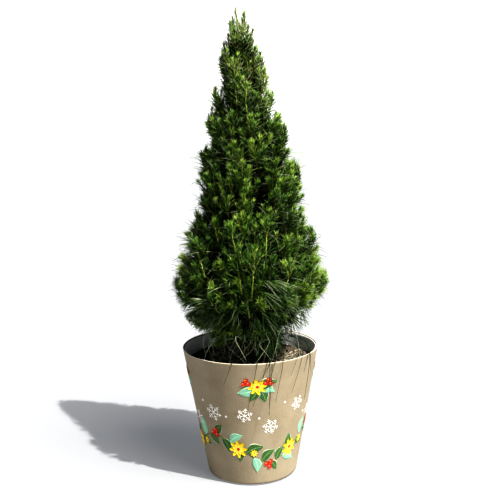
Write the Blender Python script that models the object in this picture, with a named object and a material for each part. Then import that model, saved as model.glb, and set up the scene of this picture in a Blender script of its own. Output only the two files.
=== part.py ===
"""A young Monterey pine, sheared to a narrow cone, in a black nursery pot with a kraft card sleeve.

Units are metres, +Z is up, and the origin is the middle of the pot's flat underside.
The pot, the sleeve and the potting mix are turned shapes. The trunk runs whole from the
potting mix to the foot of the leader. Round it stand tiers of foliage. Each mass of foliage
keeps to its own space, which is a sector of one tier, and is a smaller core with shoots
standing out of it: three-sided twigs that end in a slim core with toothed needles.
"""

import math
import random

import bmesh
import bpy
import numpy as np

# Nursery pot and card sleeve
POT_HEIGHT = 0.2400
RIM_RADIUS = 0.1250
BASE_RADIUS = 0.0832
SLEEVE_WALL = 0.0016
SLEEVE_FOOT = 0.0030
POT_WALL = 0.0018
POT_FLOOR = 0.0030
POT_BELOW_SLEEVE_TOP = 0.0020
EDGE_ROUND = 0.0005
TURNED_SIDES = 48

# Potting mix
MIX_TOP = 0.2150
MIX_DISH = 0.0030
MIX_LEVEL_RADIUS = 0.0300

# Every touching pair keeps this gap
CONTACT_GAP = 0.0003

# Trunk
TRUNK_FOOT = MIX_TOP + CONTACT_GAP
TRUNK_TOP = 0.7300
TRUNK_BASE_RADIUS = 0.0082
TRUNK_TOP_RADIUS = 0.0019
FLARE_EXTRA = 0.0042
FLARE_HEIGHT = 0.0110
TRUNK_SIDES = 8
TRUNK_RINGS = 15
TIP_HEIGHT = 0.8430
TIP_LEAN = -0.0130
LEAN_POWER = 4

# Crown: distance from the trunk's middle to the outline at each height
CROWN = (
    (0.228, 0.050),
    (0.248, 0.075),
    (0.275, 0.100),
    (0.310, 0.120),
    (0.338, 0.133),
    (0.360, 0.140),
    (0.385, 0.135),
    (0.442, 0.119),
    (0.486, 0.101),
    (0.573, 0.088),
    (0.640, 0.069),
    (0.686, 0.057),
    (0.729, 0.043),
    (0.790, 0.030),
    (0.850, 0.008),
)
CORE_SHARE = 0.80
SPACE_MARGIN = 0.0009
CORE_MARGIN = 0.0016
CORE_ROUNDING = 0.06
CORE_STEPS = (5, 2, 4)
CORE_ABOVE_FLOOR = 0.03
CORE_FILL = 0.91
CORE_BEHIND_FOOT = 0.0045
TUFT_LENGTH = (0.009, 0.021)
TUFT_LIFT = 55
TUFT_SWAY = 0.007

# Tiers from the pot up. height and rise give the lower side of a tier's space: z = height + rise * r.
# Each mass has shoots in columns and rows. They lean from level by lean_low at the foot of the tier
# to lean_high at its head, in degrees.
TIERS = (
    dict(height=0.2235, rise=0.00, masses=5, turn=18, columns=3, rows=2, lean_low=-38, lean_high=10),
    dict(height=0.2620, rise=0.50, masses=5, turn=54, columns=4, rows=3, lean_low=12, lean_high=56),
    dict(height=0.3250, rise=0.80, masses=4, turn=20, columns=4, rows=2, lean_low=48, lean_high=68),
    dict(height=0.4050, rise=1.00, masses=4, turn=65, columns=3, rows=3, lean_low=60, lean_high=74),
    dict(height=0.4950, rise=1.20, masses=3, turn=8, columns=4, rows=2, lean_low=64, lean_high=78),
    dict(height=0.5850, rise=1.40, masses=3, turn=68, columns=2, rows=3, lean_low=68, lean_high=82),
)
LEADER_SPACE = dict(height=0.6900, rise=3.30)
BOUGH_TIERS = 4
BOUGH_SHARE = 0.34
BOUGH_RADIUS = 0.0034
BOUGH_TIP_RADIUS = 0.0022
BOUGH_SIDES = 6
BOUGH_RINGS = 4
BOUGH_COLLAR = 0.002
BOUGH_ARCH = 0.004
STEM_RADIUS = 0.0018
STEM_SIDES = 4
STEM_REACH = 0.68
STEM_SAG = 0.006
STEM_COLLAR = 0.003
STEM_ABOVE_FLOOR = 0.022

# Shoots
SHOOT_LENGTH = (0.044, 0.058)
SHOOT_RADIUS = 0.0021
TWIG_RADIUS = 0.0011
NEEDLE_LENGTH = 0.017
NEEDLE_LIFT = 33
SHOOT_RINGS = (0.42, 0.74)
TIP_JITTER = (0.94, 1.03)
NEEDLE_SHARES = (1.0, 0.72, 0.48, 0.26)
SHOOT_TRIES = 12
SHORTER_EACH_TRY = 0.9
SEED = 4100

# Candles that stand out of the crown: height of the tip, turn in degrees, distance from the trunk
CANDLES = (
    (0.783, 172, 0.034),
    (0.766, 17, 0.038),
    (0.737, 340, 0.044),
    (0.707, 188, 0.057),
    (0.700, 20, 0.058),
    (0.672, 160, 0.070),
    (0.643, 350, 0.078),
    (0.602, 165, 0.093),
    (0.573, 4, 0.100),
    (0.486, 192, 0.104),
    (0.455, 350, 0.124),
    (0.369, 3, 0.142),
    (0.362, 176, 0.141),
)
CANDLE_LEAN = 80
CANDLE_LENGTHS = (0.052, 0.042, 0.034, 0.026)

# Leader: height of the foot on the stem, turn in degrees, lean from level, length
LEADER_SHOOTS = (
    (0.742, 178, 78, 0.058),
    (0.744, 2, 72, 0.056),
    (0.744, 96, 76, 0.050),
    (0.746, 262, 76, 0.052),
    (0.750, 48, 72, 0.050),
    (0.752, 222, 72, 0.050),
    (0.758, 130, 80, 0.054),
    (0.765, 310, 82, 0.048),
    (0.776, 8, 84, 0.050),
    (0.782, 140, 80, 0.036),
)
LEADER_TIP_LENGTH = 0.056
LEADER_STEM_RADIUS = 0.0015

COLOURS = {
    "kraft_card": ((0.52, 0.38, 0.235), 0.80),
    "black_plastic": ((0.035, 0.037, 0.041), 0.55),
    "potting_mix": ((0.020, 0.013, 0.009), 0.95),
    "pine_bark": ((0.115, 0.070, 0.042), 0.90),
    "pine_needles": ((0.050, 0.125, 0.022), 0.60),
}


def material(name):
    """The Principled material of that name, made once."""
    found = bpy.data.materials.get(name)
    if found:
        return found
    colour, roughness = COLOURS[name]
    made = bpy.data.materials.new(name)
    made.use_nodes = True
    made.diffuse_color = (*colour, 1)
    shader = made.node_tree.nodes["Principled BSDF"]
    shader.inputs["Base Color"].default_value = (*colour, 1)
    shader.inputs["Roughness"].default_value = roughness
    return made


def add_object(name, points, faces, finish, smooth=False):
    mesh = bpy.data.meshes.new(name)
    mesh.from_pydata([tuple(map(float, p)) for p in points], [], faces)
    mesh.materials.append(material(finish))
    if smooth:
        mesh.shade_smooth()
        mesh.set_sharp_from_angle(angle=math.radians(40))
    made = bpy.data.objects.new(name, mesh)
    bpy.context.scene.collection.objects.link(made)
    return made


def turned(name, profile, closed, finish):
    """Turns a profile of (radius, height) about Z. It runs down the outer side, top to bottom."""
    mesh = bpy.data.meshes.new(name)
    count = len(profile)
    edges = [(i, i + 1) for i in range(count - 1)]
    if closed:
        edges.append((count - 1, 0))
    mesh.from_pydata([(r, 0, z) for r, z in profile], edges, [])
    mesh.materials.append(material(finish))
    made = bpy.data.objects.new(name, mesh)
    bpy.context.scene.collection.objects.link(made)
    screw = made.modifiers.new("Turn", "SCREW")
    screw.angle = math.tau
    screw.steps = TURNED_SIDES
    screw.render_steps = TURNED_SIDES
    screw.use_merge_vertices = True
    screw.merge_threshold = 0.00001
    screw.use_smooth_shade = True
    return made


# ---- pot, sleeve and potting mix


def sleeve_outer(z):
    return BASE_RADIUS + (RIM_RADIUS - BASE_RADIUS) * z / POT_HEIGHT


def sleeve_inner(z):
    return sleeve_outer(z) - SLEEVE_WALL


def pot_outer(z):
    return sleeve_inner(z) - CONTACT_GAP


def pot_inner(z):
    return pot_outer(z) - POT_WALL


def make_sleeve():
    top, foot = POT_HEIGHT, SLEEVE_FOOT
    profile = [
        (sleeve_outer(top) - EDGE_ROUND, top),
        (sleeve_outer(top), top - EDGE_ROUND),
        (sleeve_outer(foot), foot),
        (sleeve_inner(foot), foot),
        (sleeve_inner(top), top - EDGE_ROUND),
        (sleeve_inner(top) + EDGE_ROUND, top),
    ]
    return turned("kraft_sleeve", profile, True, "kraft_card")


def make_pot():
    top = POT_HEIGHT - POT_BELOW_SLEEVE_TOP
    profile = [
        (pot_outer(top), top),
        (pot_outer(EDGE_ROUND), EDGE_ROUND),
        (pot_outer(0) - EDGE_ROUND, 0),
        (0, 0),
        (0, POT_FLOOR),
        (pot_inner(POT_FLOOR), POT_FLOOR),
        (pot_inner(top), top),
    ]
    return turned("nursery_pot", profile, True, "black_plastic")


def mix_height(r):
    """Top of the potting mix, level round the trunk and a little lower at the wall."""
    edge = pot_inner(MIX_TOP) - CONTACT_GAP
    share = max(0.0, (r - MIX_LEVEL_RADIUS) / (edge - MIX_LEVEL_RADIUS))
    return MIX_TOP - MIX_DISH * share**2


def make_mix():
    foot = POT_FLOOR + CONTACT_GAP
    middle_radius = 0.5 * (MIX_LEVEL_RADIUS + RIM_RADIUS)
    edge_height = MIX_TOP - MIX_DISH
    profile = [
        (0, MIX_TOP),
        (MIX_LEVEL_RADIUS, MIX_TOP),
        (middle_radius, mix_height(middle_radius)),
        (pot_inner(edge_height) - CONTACT_GAP, edge_height),
        (pot_inner(foot) - CONTACT_GAP, foot),
        (0, foot),
    ]
    return turned("potting_mix", profile, False, "potting_mix")


# ---- limbs


def trunk_axis(z):
    """The trunk's middle at a height: upright at its foot, leaning more and more to -X."""
    share = (z - TRUNK_FOOT) / (TIP_HEIGHT - TRUNK_FOOT)
    return np.array([TIP_LEAN * max(share, 0) ** LEAN_POWER, 0.0, z])


def trunk_radius(z):
    share = (z - TRUNK_FOOT) / (TRUNK_TOP - TRUNK_FOOT)
    taper = TRUNK_BASE_RADIUS + (TRUNK_TOP_RADIUS - TRUNK_BASE_RADIUS) * share
    return taper + FLARE_EXTRA * math.exp(-(z - TRUNK_FOOT) / FLARE_HEIGHT)


def skin(rings):
    """Faces that join rings of equal count, one after the other, with a cap at each end."""
    count = len(rings[0])
    points = [p for ring in rings for p in ring]
    faces = [tuple(range(count))[::-1]]
    for row in range(len(rings) - 1):
        for i in range(count):
            j = (i + 1) % count
            low, high = row * count, (row + 1) * count
            faces.append((low + i, low + j, high + j, high + i))
    faces.append(tuple(range((len(rings) - 1) * count, len(rings) * count)))
    return points, faces


def across(direction, near=(0.31, -0.22, 0.92)):
    """Two unit vectors square to a direction and to each other, the first as near to near as it gets."""
    side = np.array(near) - np.dot(near, direction) * direction
    side = side / np.linalg.norm(side)
    return side, np.cross(direction, side)


def ring(middle, frame, radius, sides):
    angles = [math.tau * i / sides for i in range(sides)]
    return [middle + radius * (math.cos(t) * frame[0] + math.sin(t) * frame[1]) for t in angles]


def unit(vector):
    return vector / np.linalg.norm(vector)


def limb(path, radii, sides):
    """A closed tube along a path. Each ring stands square to the path, with no twist from ring to ring."""
    path = [np.array(p, float) for p in path]
    rings = []
    frame = across(unit(path[1] - path[0]))
    for i, middle in enumerate(path):
        before, after = path[max(i - 1, 0)], path[min(i + 1, len(path) - 1)]
        frame = across(unit(after - before), frame[0])
        rings.append(ring(middle, frame, radii[i], sides))
    return skin(rings)


def make_trunk():
    flare_steps = [0, 0.004, 0.009, 0.018, 0.034]
    heights = [TRUNK_FOOT + step for step in flare_steps]
    plain = TRUNK_RINGS - len(heights)
    heights += list(np.linspace(heights[-1], TRUNK_TOP, plain + 1)[1:])
    rings = []
    for z in heights:
        middle, radius = trunk_axis(z), trunk_radius(z)
        angles = [math.tau * i / TRUNK_SIDES for i in range(TRUNK_SIDES)]
        rings.append([middle + (radius * math.cos(t), radius * math.sin(t), 0) for t in angles])
    points, faces = skin(rings)
    return add_object("trunk", points, faces, "pine_bark", smooth=True)


# ---- the space of each mass


def crown_radius(z):
    heights, radii = zip(*CROWN)
    return float(np.interp(z, heights, radii))


def tier_floor(tier, r):
    """Height of a tier's lower side at a distance from the trunk's middle."""
    space = TIERS[tier] if tier < len(TIERS) else LEADER_SPACE
    return space["height"] + space["rise"] * r


def around(z, turn, r):
    """The point at that height, turn in radians and distance from the trunk's middle."""
    return trunk_axis(z) + np.array([r * math.cos(turn), r * math.sin(turn), 0.0])


def in_space(points, tier, turn, half, margin):
    """True if every point lies in the sector of turn +- half of that tier, clear of its sides."""
    for p in points:
        middle = trunk_axis(p[2])
        x, y = p[0] - middle[0], p[1] - middle[1]
        r = math.hypot(x, y)
        off = abs((math.atan2(y, x) - turn + math.pi) % math.tau - math.pi)
        beside = r * math.sin(half - off) if off < half else -1.0
        low = p[2] - tier_floor(tier, r)
        high = tier_floor(tier + 1, r) - p[2]
        steep = math.hypot(1, tier_floor(tier + 1, 1) - tier_floor(tier + 1, 0))
        if min(beside, low / steep, high / steep) < margin:
            return False
        if r < trunk_radius(p[2]) + 2 * margin:
            return False
    return True


def masses():
    """Every mass as its tier, its number in it, the turn of its middle and half its sector."""
    for tier, facts in enumerate(TIERS):
        half = math.pi / facts["masses"]
        for number in range(facts["masses"]):
            yield tier, number, math.radians(facts["turn"]) + 2 * half * number, half


def shell_band(tier):
    """Heights between which a tier's space meets the crown's outline."""
    heights = np.linspace(CROWN[0][0], CROWN[-1][0], 400)
    inside = [
        z
        for z in heights
        if tier_floor(tier, crown_radius(z)) <= z <= tier_floor(tier + 1, crown_radius(z))
    ]
    return inside[0], inside[-1]


# ---- boughs, cores and shoots


def bough_path(tier, turn):
    """A bough's middle line: square off the trunk's skin, then out and up to where its mass begins."""
    low, high = shell_band(tier)
    end_height = low + 0.45 * (high - low)
    reach = crown_radius(end_height) * BOUGH_SHARE
    foot_height = TIERS[tier]["height"] + 0.30 * (TIERS[tier + 1]["height"] - TIERS[tier]["height"])
    middle_rise = 0.5 * (TIERS[tier]["rise"] + TIERS[tier + 1]["rise"])
    skin_radius = trunk_radius(foot_height - BOUGH_RADIUS) + CONTACT_GAP
    start = skin_radius + BOUGH_COLLAR
    path = [around(foot_height, turn, skin_radius)]
    for share in np.linspace(0, 1, BOUGH_RINGS):
        r = start + (reach - start) * share
        z = foot_height + middle_rise * (r - start) + BOUGH_ARCH * math.sin(math.pi * share)
        path.append(around(z, turn, r))
    return path


def mass_foot(tier, turn):
    """Where a mass's stem starts and which way it leaves: off its bough's tip, or off the trunk's skin."""
    if tier < BOUGH_TIERS:
        path = bough_path(tier, turn)
        direction = unit(path[-1] - path[-2])
        return path[-1] + direction * CONTACT_GAP, direction
    foot_height = TIERS[tier]["height"] + STEM_ABOVE_FLOOR
    return around(foot_height, turn, trunk_radius(foot_height) + CONTACT_GAP), lean_line(turn, 0)


def stem_path(tier, turn):
    """The line that a mass's twigs leave: straight off its foot, then up into the middle of its core."""
    low, high = shell_band(tier)
    end_height = low + 0.60 * (high - low)
    end = around(end_height, turn, crown_radius(end_height) * STEM_REACH)
    foot, direction = mass_foot(tier, turn)
    middle = 0.5 * (foot + end) - np.array([0, 0, STEM_SAG])
    return [foot, foot + direction * STEM_COLLAR, middle, end]


def draw_out(points, corners, apex):
    """Turns one flat face into a spike: the faces that run from its sides to an apex."""
    points.append(apex)
    count = len(corners)
    return [(corners[n], corners[(n + 1) % count], len(points) - 1) for n in range(count)]


def core(tier, turn, half, rng):
    """A rounded wedge that fills most of a mass's space, as a grid of turn, depth and height.
    The faces of its outer side are drawn out to tufts where there is room."""
    foot, _ = mass_foot(tier, turn)
    inner = np.linalg.norm(foot - trunk_axis(foot[2])) + CORE_BEHIND_FOOT
    band = shell_band(tier)
    grids = [np.linspace(-1, 1, n) for n in CORE_STEPS]
    points, index = [], {}
    for i, a in enumerate(grids[0]):
        for j, b in enumerate(grids[1]):
            for k, c in enumerate(grids[2]):
                if max(abs(a), abs(b), abs(c)) < 1:
                    continue
                index[i, j, k] = len(points)
                points.append(core_point(tier, turn, half, inner, band, (a, b, c)))
    faces = []
    for axis in range(3):
        u, v = [n for n in range(3) if n != axis]
        for end in (0, len(grids[axis]) - 1):
            for p in range(len(grids[u]) - 1):
                for q in range(len(grids[v]) - 1):
                    face = core_face(index, axis, end, (u, v), (p, q))
                    apex = tuft_apex(points, face, rng)
                    outer_side = axis == 1 and end > 0
                    if outer_side and in_space([apex], tier, turn, half, SPACE_MARGIN):
                        faces += draw_out(points, face, apex)
                    else:
                        faces.append(face)
    return points, faces


def tuft_apex(points, face, rng):
    """The tip of a tuft over a face: out from the trunk, up and a little to one side."""
    middle = sum(points[c] for c in face) / 4
    out = unit(middle - trunk_axis(middle[2]))
    side = rng.uniform(-TUFT_SWAY, TUFT_SWAY) * np.array([-out[1], out[0], 0])
    lift = math.radians(TUFT_LIFT)
    up = np.array([0, 0, math.sin(lift)])
    return middle + side + rng.uniform(*TUFT_LENGTH) * (out * math.cos(lift) + up)


def core_point(tier, turn, half, inner, band, place):
    """A grid place of (turn, depth, height), each -1 to 1, carried into the tier's space."""
    a, b, c = place
    pull = CORE_ROUNDING * 0.5
    a *= 1 - pull * (b * b + c * c)
    b, c = b * (1 - pull * (a * a + c * c)), c * (1 - pull * (a * a + b * b))
    height = band[0] + (band[1] - band[0]) * (0.5 + 0.5 * c)
    outer = crown_radius(height) * CORE_SHARE
    r = inner + (max(outer, inner + 0.006) - inner) * (0.5 + 0.5 * b)
    floor, ceiling = tier_floor(tier, r), tier_floor(tier + 1, r)
    share = 0.5 + 0.5 * c
    z = floor + CORE_MARGIN + (ceiling - floor - 2 * CORE_MARGIN) * (CORE_ABOVE_FLOOR + CORE_FILL * share)
    r = min(r, crown_radius(z) * CORE_SHARE)
    spread = half - (CORE_MARGIN + 0.001) / max(r, 0.01)
    return around(z, turn + a * spread, r)


def core_face(index, axis, end, pair, cell):
    """One face of the core's skin, with its corners turned to face out."""
    corners = []
    for du, dv in ((0, 0), (1, 0), (1, 1), (0, 1)):
        place = [0, 0, 0]
        place[axis] = end
        place[pair[0]], place[pair[1]] = cell[0] + du, cell[1] + dv
        corners.append(index[tuple(place)])
    turned_round = (end == 0) == (axis == 1)
    return tuple(corners[::-1] if turned_round else corners)


def shoot(root, base, tip, needle):
    """A three-sided twig that bends at its base and goes on as a slim core to the tip.
    Over its upper part each face is drawn out to one needle, so that it ends in a tuft."""
    twig, along = unit(base - root), unit(tip - base)
    frame = across(twig)
    rings = [ring(root, frame, TWIG_RADIUS, 3)]
    frame = across(unit(twig + along), frame[0])
    rings.append(ring(base, frame, TWIG_RADIUS, 3))
    frame = across(along, frame[0])
    for share in SHOOT_RINGS:
        rings.append(ring(base + (tip - base) * share, frame, SHOOT_RADIUS, 3))
    points = [p for three in rings for p in three] + [tip]
    top = len(points) - 1
    lift = math.radians(NEEDLE_LIFT)
    faces = [(2, 1, 0)]
    for row in range(len(rings)):
        for i in range(3):
            j = (i + 1) % 3
            corners = (row * 3 + i, row * 3 + j, row * 3 + 3 + j, row * 3 + 3 + i)
            if row == len(rings) - 1:
                corners = (row * 3 + i, row * 3 + j, top)
            if row < 2:
                faces.append(corners)
                continue
            middle = sum(points[c] for c in corners) / len(corners)
            out = unit(middle - base - along * np.dot(middle - base, along))
            apex = middle + needle * (out * math.sin(lift) + along * math.cos(lift))
            faces += draw_out(points, corners, apex)
    return points, faces


def lean_line(turn, lean):
    """The unit vector that points outwards at a turn and leans up from level."""
    out = np.array([math.cos(turn), math.sin(turn), 0])
    return out * math.cos(lean) + np.array([0, 0, math.sin(lean)])


def seeded(tier, number):
    return random.Random(SEED + 100 * tier + number)


def twig_root(stem, base):
    """The place on a mass's stem that a shoot grows from: as high as the shoot's base, if the stem is there."""
    middle, end = stem[-2:]
    share = (base[2] - middle[2]) / (end[2] - middle[2])
    return middle + (end - middle) * min(max(share, 0.0), 0.97)


def shoots_of(tier, number, turn, half, stem):
    """The seeded rule of a mass: (root, base, tip) of each twig, spread evenly over its part of
    the outline, shorter where it has less room, and then of each candle that stands in its space."""
    rng = seeded(tier, number)
    facts = TIERS[tier]
    low, high = shell_band(tier)
    found = []
    for row in range(facts["rows"]):
        for column in range(facts["columns"]):
            for attempt in range(SHOOT_TRIES):
                level = (row + rng.uniform(0.15, 0.85)) / facts["rows"]
                sideways = (column + rng.uniform(0.15, 0.85)) / facts["columns"] * 2 - 1
                length = rng.uniform(*SHOOT_LENGTH) * SHORTER_EACH_TRY**attempt
                z = low + (high - low) * level
                r = crown_radius(z) * rng.uniform(*TIP_JITTER)
                lean = facts["lean_low"] + (facts["lean_high"] - facts["lean_low"]) * level
                tip = around(z, turn + half * sideways * 0.92, r)
                base = tip - lean_line(turn + half * sideways, math.radians(lean)) * length
                if in_space([base, tip], tier, turn, half, SPACE_MARGIN):
                    found.append((twig_root(stem, base), base, tip))
                    break
    for z, candle_turn, r in CANDLES:
        tip = around(z, math.radians(candle_turn), r)
        for length in CANDLE_LENGTHS:
            base = tip - lean_line(math.radians(candle_turn), math.radians(CANDLE_LEAN)) * length
            if in_space([base, tip], tier, turn, half, 2 * SPACE_MARGIN):
                found.append((twig_root(stem, base), base, tip))
                break
    return found


def keep_largest_shell(mesh):
    """Fills the small hollows that fusing seals, and drops loose scraps: only the largest shell stays."""
    work = bmesh.new()
    work.from_mesh(mesh)
    left = set(work.verts)
    shells = []
    while left:
        edge_of_shell = [left.pop()]
        shell = list(edge_of_shell)
        while edge_of_shell:
            vert = edge_of_shell.pop()
            beside = {edge.other_vert(vert) for edge in vert.link_edges} & left
            left -= beside
            shell += beside
            edge_of_shell += beside
        shells.append(shell)
    largest = max(shells, key=len)
    scraps = [vert for shell in shells if shell is not largest for vert in shell]
    bmesh.ops.delete(work, geom=scraps, context="VERTS")
    work.to_mesh(mesh)
    work.free()


def fuse(name, bodies, finish):
    """Joins closed shapes, given as (points, faces), into one body named name."""
    first, *rest = [add_object(f"{name}_piece", points, faces, finish) for points, faces in bodies]
    first.name = name
    first.data.name = name
    group = bpy.data.collections.new(f"{name}_pieces")
    for piece in rest:
        bpy.context.scene.collection.objects.unlink(piece)
        group.objects.link(piece)
    bpy.context.scene.collection.children.link(group)
    union = first.modifiers.new("Fuse", "BOOLEAN")
    union.operation = "UNION"
    union.operand_type = "COLLECTION"
    union.collection = group
    union.solver = "MANIFOLD"
    bpy.context.view_layer.update()
    graph = bpy.context.evaluated_depsgraph_get()
    fused = bpy.data.meshes.new_from_object(first.evaluated_get(graph))
    keep_largest_shell(fused)
    first.modifiers.clear()
    first.data = fused
    for piece in rest:
        bpy.data.objects.remove(piece)
    bpy.data.collections.remove(group)
    return first


def make_bough(tier, number, turn):
    path = bough_path(tier, turn)
    points, faces = limb(path, np.linspace(BOUGH_RADIUS, BOUGH_TIP_RADIUS, len(path)), BOUGH_SIDES)
    return add_object(f"bough_{tier + 1}_{number + 1}", points, faces, "pine_bark", smooth=True)


def make_mass(tier, number, turn, half):
    stem = stem_path(tier, turn)
    bodies = [core(tier, turn, half, seeded(tier, number)), limb(stem, [STEM_RADIUS] * len(stem), STEM_SIDES)]
    for root, base, tip in shoots_of(tier, number, turn, half, stem):
        for share in NEEDLE_SHARES:
            shape = shoot(root, base, tip, NEEDLE_LENGTH * share)
            if in_space(shape[0][3:], tier, turn, half, SPACE_MARGIN):
                bodies.append(shape)
                break
    return fuse(f"foliage_{tier + 1}_{number + 1}", bodies, "pine_needles")


def make_leader():
    """The mass at the tip: a stem that grows on from the trunk's tip, with upright shoots round it."""
    heights = np.linspace(TRUNK_TOP + CONTACT_GAP, TIP_HEIGHT - LEADER_TIP_LENGTH + 0.010, 4)
    radii = np.linspace(LEADER_STEM_RADIUS, SHOOT_RADIUS * 0.8, len(heights))
    bodies = [limb([trunk_axis(z) for z in heights], radii, STEM_SIDES)]
    for height, turn, lean, length in LEADER_SHOOTS:
        along = lean_line(math.radians(turn), math.radians(lean))
        root = trunk_axis(height)
        base = root + lean_line(math.radians(turn), 0) * 0.006 + along * 0.010
        bodies.append(shoot(root, base, base + along * length, NEEDLE_LENGTH * 0.8))
    root, base = trunk_axis(heights[-1] - 0.010), trunk_axis(heights[-1])
    bodies.append(shoot(root, base, trunk_axis(TIP_HEIGHT), NEEDLE_LENGTH * 0.8))
    return fuse("foliage_leader", bodies, "pine_needles")


def main():
    for old in list(bpy.data.objects):
        bpy.data.objects.remove(old)
    make_sleeve()
    make_pot()
    make_mix()
    make_trunk()
    for tier, number, turn, half in masses():
        if tier < BOUGH_TIERS:
            make_bough(tier, number, turn)
        make_mass(tier, number, turn, half)
    make_leader()


main()
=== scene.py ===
import math
import random

import bpy
import numpy as np
from mathutils import Matrix


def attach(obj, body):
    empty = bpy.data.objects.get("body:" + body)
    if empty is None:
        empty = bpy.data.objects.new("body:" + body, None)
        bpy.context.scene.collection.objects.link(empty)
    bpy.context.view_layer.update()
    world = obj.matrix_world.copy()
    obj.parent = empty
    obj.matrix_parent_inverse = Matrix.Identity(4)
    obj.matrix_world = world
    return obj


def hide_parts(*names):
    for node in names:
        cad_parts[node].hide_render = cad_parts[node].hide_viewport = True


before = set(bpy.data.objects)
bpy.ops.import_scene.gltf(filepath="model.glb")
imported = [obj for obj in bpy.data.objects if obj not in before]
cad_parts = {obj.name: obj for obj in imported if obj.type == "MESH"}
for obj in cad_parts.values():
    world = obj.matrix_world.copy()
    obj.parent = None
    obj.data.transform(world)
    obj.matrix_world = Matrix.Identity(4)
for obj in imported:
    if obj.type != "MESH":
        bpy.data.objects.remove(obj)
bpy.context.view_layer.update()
print("frame loaded")

# Everything is in metres, +Z up, with the origin under the middle of the pot.
massNodes = sorted(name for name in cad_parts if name.startswith("foliage_"))
boughNodes = sorted(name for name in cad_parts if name.startswith("bough_"))


class Wire:
    # one output of a node; + - and * on values add Math nodes
    def __init__(self, nodes, socket):
        self.nodes, self.socket = nodes, socket

    def maths(self, operation, first, second=0):
        # the Math node of that name
        return self.nodes.node("ShaderNodeMath", {"operation": operation}, {0: first, 1: second})

    def __add__(self, other):
        return self.maths("ADD", self, other)

    def __radd__(self, other):
        return self.maths("ADD", other, self)

    def __sub__(self, other):
        return self.maths("SUBTRACT", self, other)

    def __rsub__(self, other):
        return self.maths("SUBTRACT", other, self)

    def __mul__(self, other):
        return self.maths("MULTIPLY", self, other)

    def __rmul__(self, other):
        return self.maths("MULTIPLY", other, self)


class Nodes:
    # a node tree, with one method for sockets and one that adds any node
    def __init__(self, tree):
        self.tree = tree

    def set(self, node, sockets):
        # links a wire to a socket, or gives the socket a value
        for key, value in sockets.items():
            if isinstance(value, Wire):
                self.tree.links.new(value.socket, node.inputs[key])
            else:
                node.inputs[key].default_value = value

    def node(self, kind, settings=None, sockets=None, output=0):
        # adds a node of that type, with its settings and sockets, and returns one output
        made = self.tree.nodes.new(kind)
        for key, value in (settings or {}).items():
            if key == "stops":  # the places and colours of a ramp's two ends
                for element, (place, colour) in zip(made.color_ramp.elements, value):
                    element.position, element.color = place, colour
            else:
                setattr(made, key, value)
        self.set(made, sockets or {})
        return Wire(self, made.outputs[output])


class Finish(Nodes):
    # one material: a Principled shader and the patterns that drive it
    def __init__(self, name, colour, roughness, **values):
        self.material = bpy.data.materials.new(name)
        self.material.use_nodes = True
        self.material.diffuse_color = (*colour, 1)
        super().__init__(self.material.node_tree)
        self.shader = self.tree.nodes["Principled BSDF"]
        self.wear(base_color=(*colour, 1), roughness=roughness, **values)

    def wear(self, **values):
        # sockets of the shader by name, such as base_color
        for key, value in values.items():
            self.set(self.shader, {key.replace("_", " ").title().replace("Ior", "IOR"): value})

    def place(self):
        return self.node("ShaderNodeTexCoord", output="Object")

    def stretched(self, scale, turn=(0, 0, 0)):
        sockets = {"Vector": self.place(), "Scale": scale, "Rotation": turn}
        return self.node("ShaderNodeMapping", None, sockets)

    def noise(self, scale, detail=3.0, roughness=0.55, distortion=0.0, where=None):
        sockets = {"Vector": where or self.place(), "Scale": scale, "Detail": detail}
        sockets.update({"Roughness": roughness, "Distortion": distortion})
        return self.node("ShaderNodeTexNoise", None, sockets)

    def mix(self, factor, first, second):
        # (1 - factor) * first + factor * second, for colours or wires
        colours = [value if isinstance(value, Wire) else (*value, 1) for value in (first, second)]
        return self.node("ShaderNodeMix", {"data_type": "RGBA"}, {0: factor, 6: colours[0], 7: colours[1]}, 2)

    def ramp(self, value, low, high):
        # 0 below low, 1 above high, straight between
        sockets = {"Value": value, "From Min": low, "From Max": high}
        return self.node("ShaderNodeMapRange", {"clamp": True}, sockets)

    def over(self, colour, value, low, high, share, second):
        # the second colour laid over the first where the value is high, by no more than the share
        return self.mix(self.ramp(value, low, high) * share, colour, second)

    def bump(self, height, distance, strength):
        sockets = {"Height": height, "Distance": distance, "Strength": strength}
        self.wear(normal=self.node("ShaderNodeBump", None, sockets))


def unit(vectors):
    # each vector divided by its length
    return vectors / np.maximum(np.linalg.norm(vectors, axis=-1, keepdims=True), 1e-12)


def squareTo(direction, away=None):
    # two unit vectors square to each direction and to each other; the first is square to away too
    if away is None:
        away = np.where(np.abs(direction[..., 2:3]) > 0.9, [1.0, 0.0, 0.0], [0.0, 0.0, 1.0])
    side = unit(np.cross(direction, away))
    return side, np.cross(direction, side)


def smooth(value, low, high):
    # the S-curve 3t^2 - 2t^3, with t running from 0 at low to 1 at high
    t = np.clip((value - low) / (high - low), 0, 1)
    return t * t * (3 - 2 * t)


def between(pair, share):
    # the value at a share of the way from the first to the second
    return pair[0] + (pair[1] - pair[0]) * share


def polar(r, turn, z):
    # places at a distance from the Z axis, a turn about it and a height
    return np.stack(np.broadcast_arrays(r * np.cos(turn), r * np.sin(turn), z), -1)


def facing(side, other, turn):
    # the direction at a turn from one unit vector towards another one that is square to it
    return side * np.cos(turn) + other * np.sin(turn)


def upBy(height):
    # the vector straight up of that length
    return np.array([0.0, 0.0, height])


def newObject(name, data):
    # an object in the scene's own collection
    made = bpy.data.objects.new(name, data)
    bpy.context.scene.collection.objects.link(made)
    return made


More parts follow.
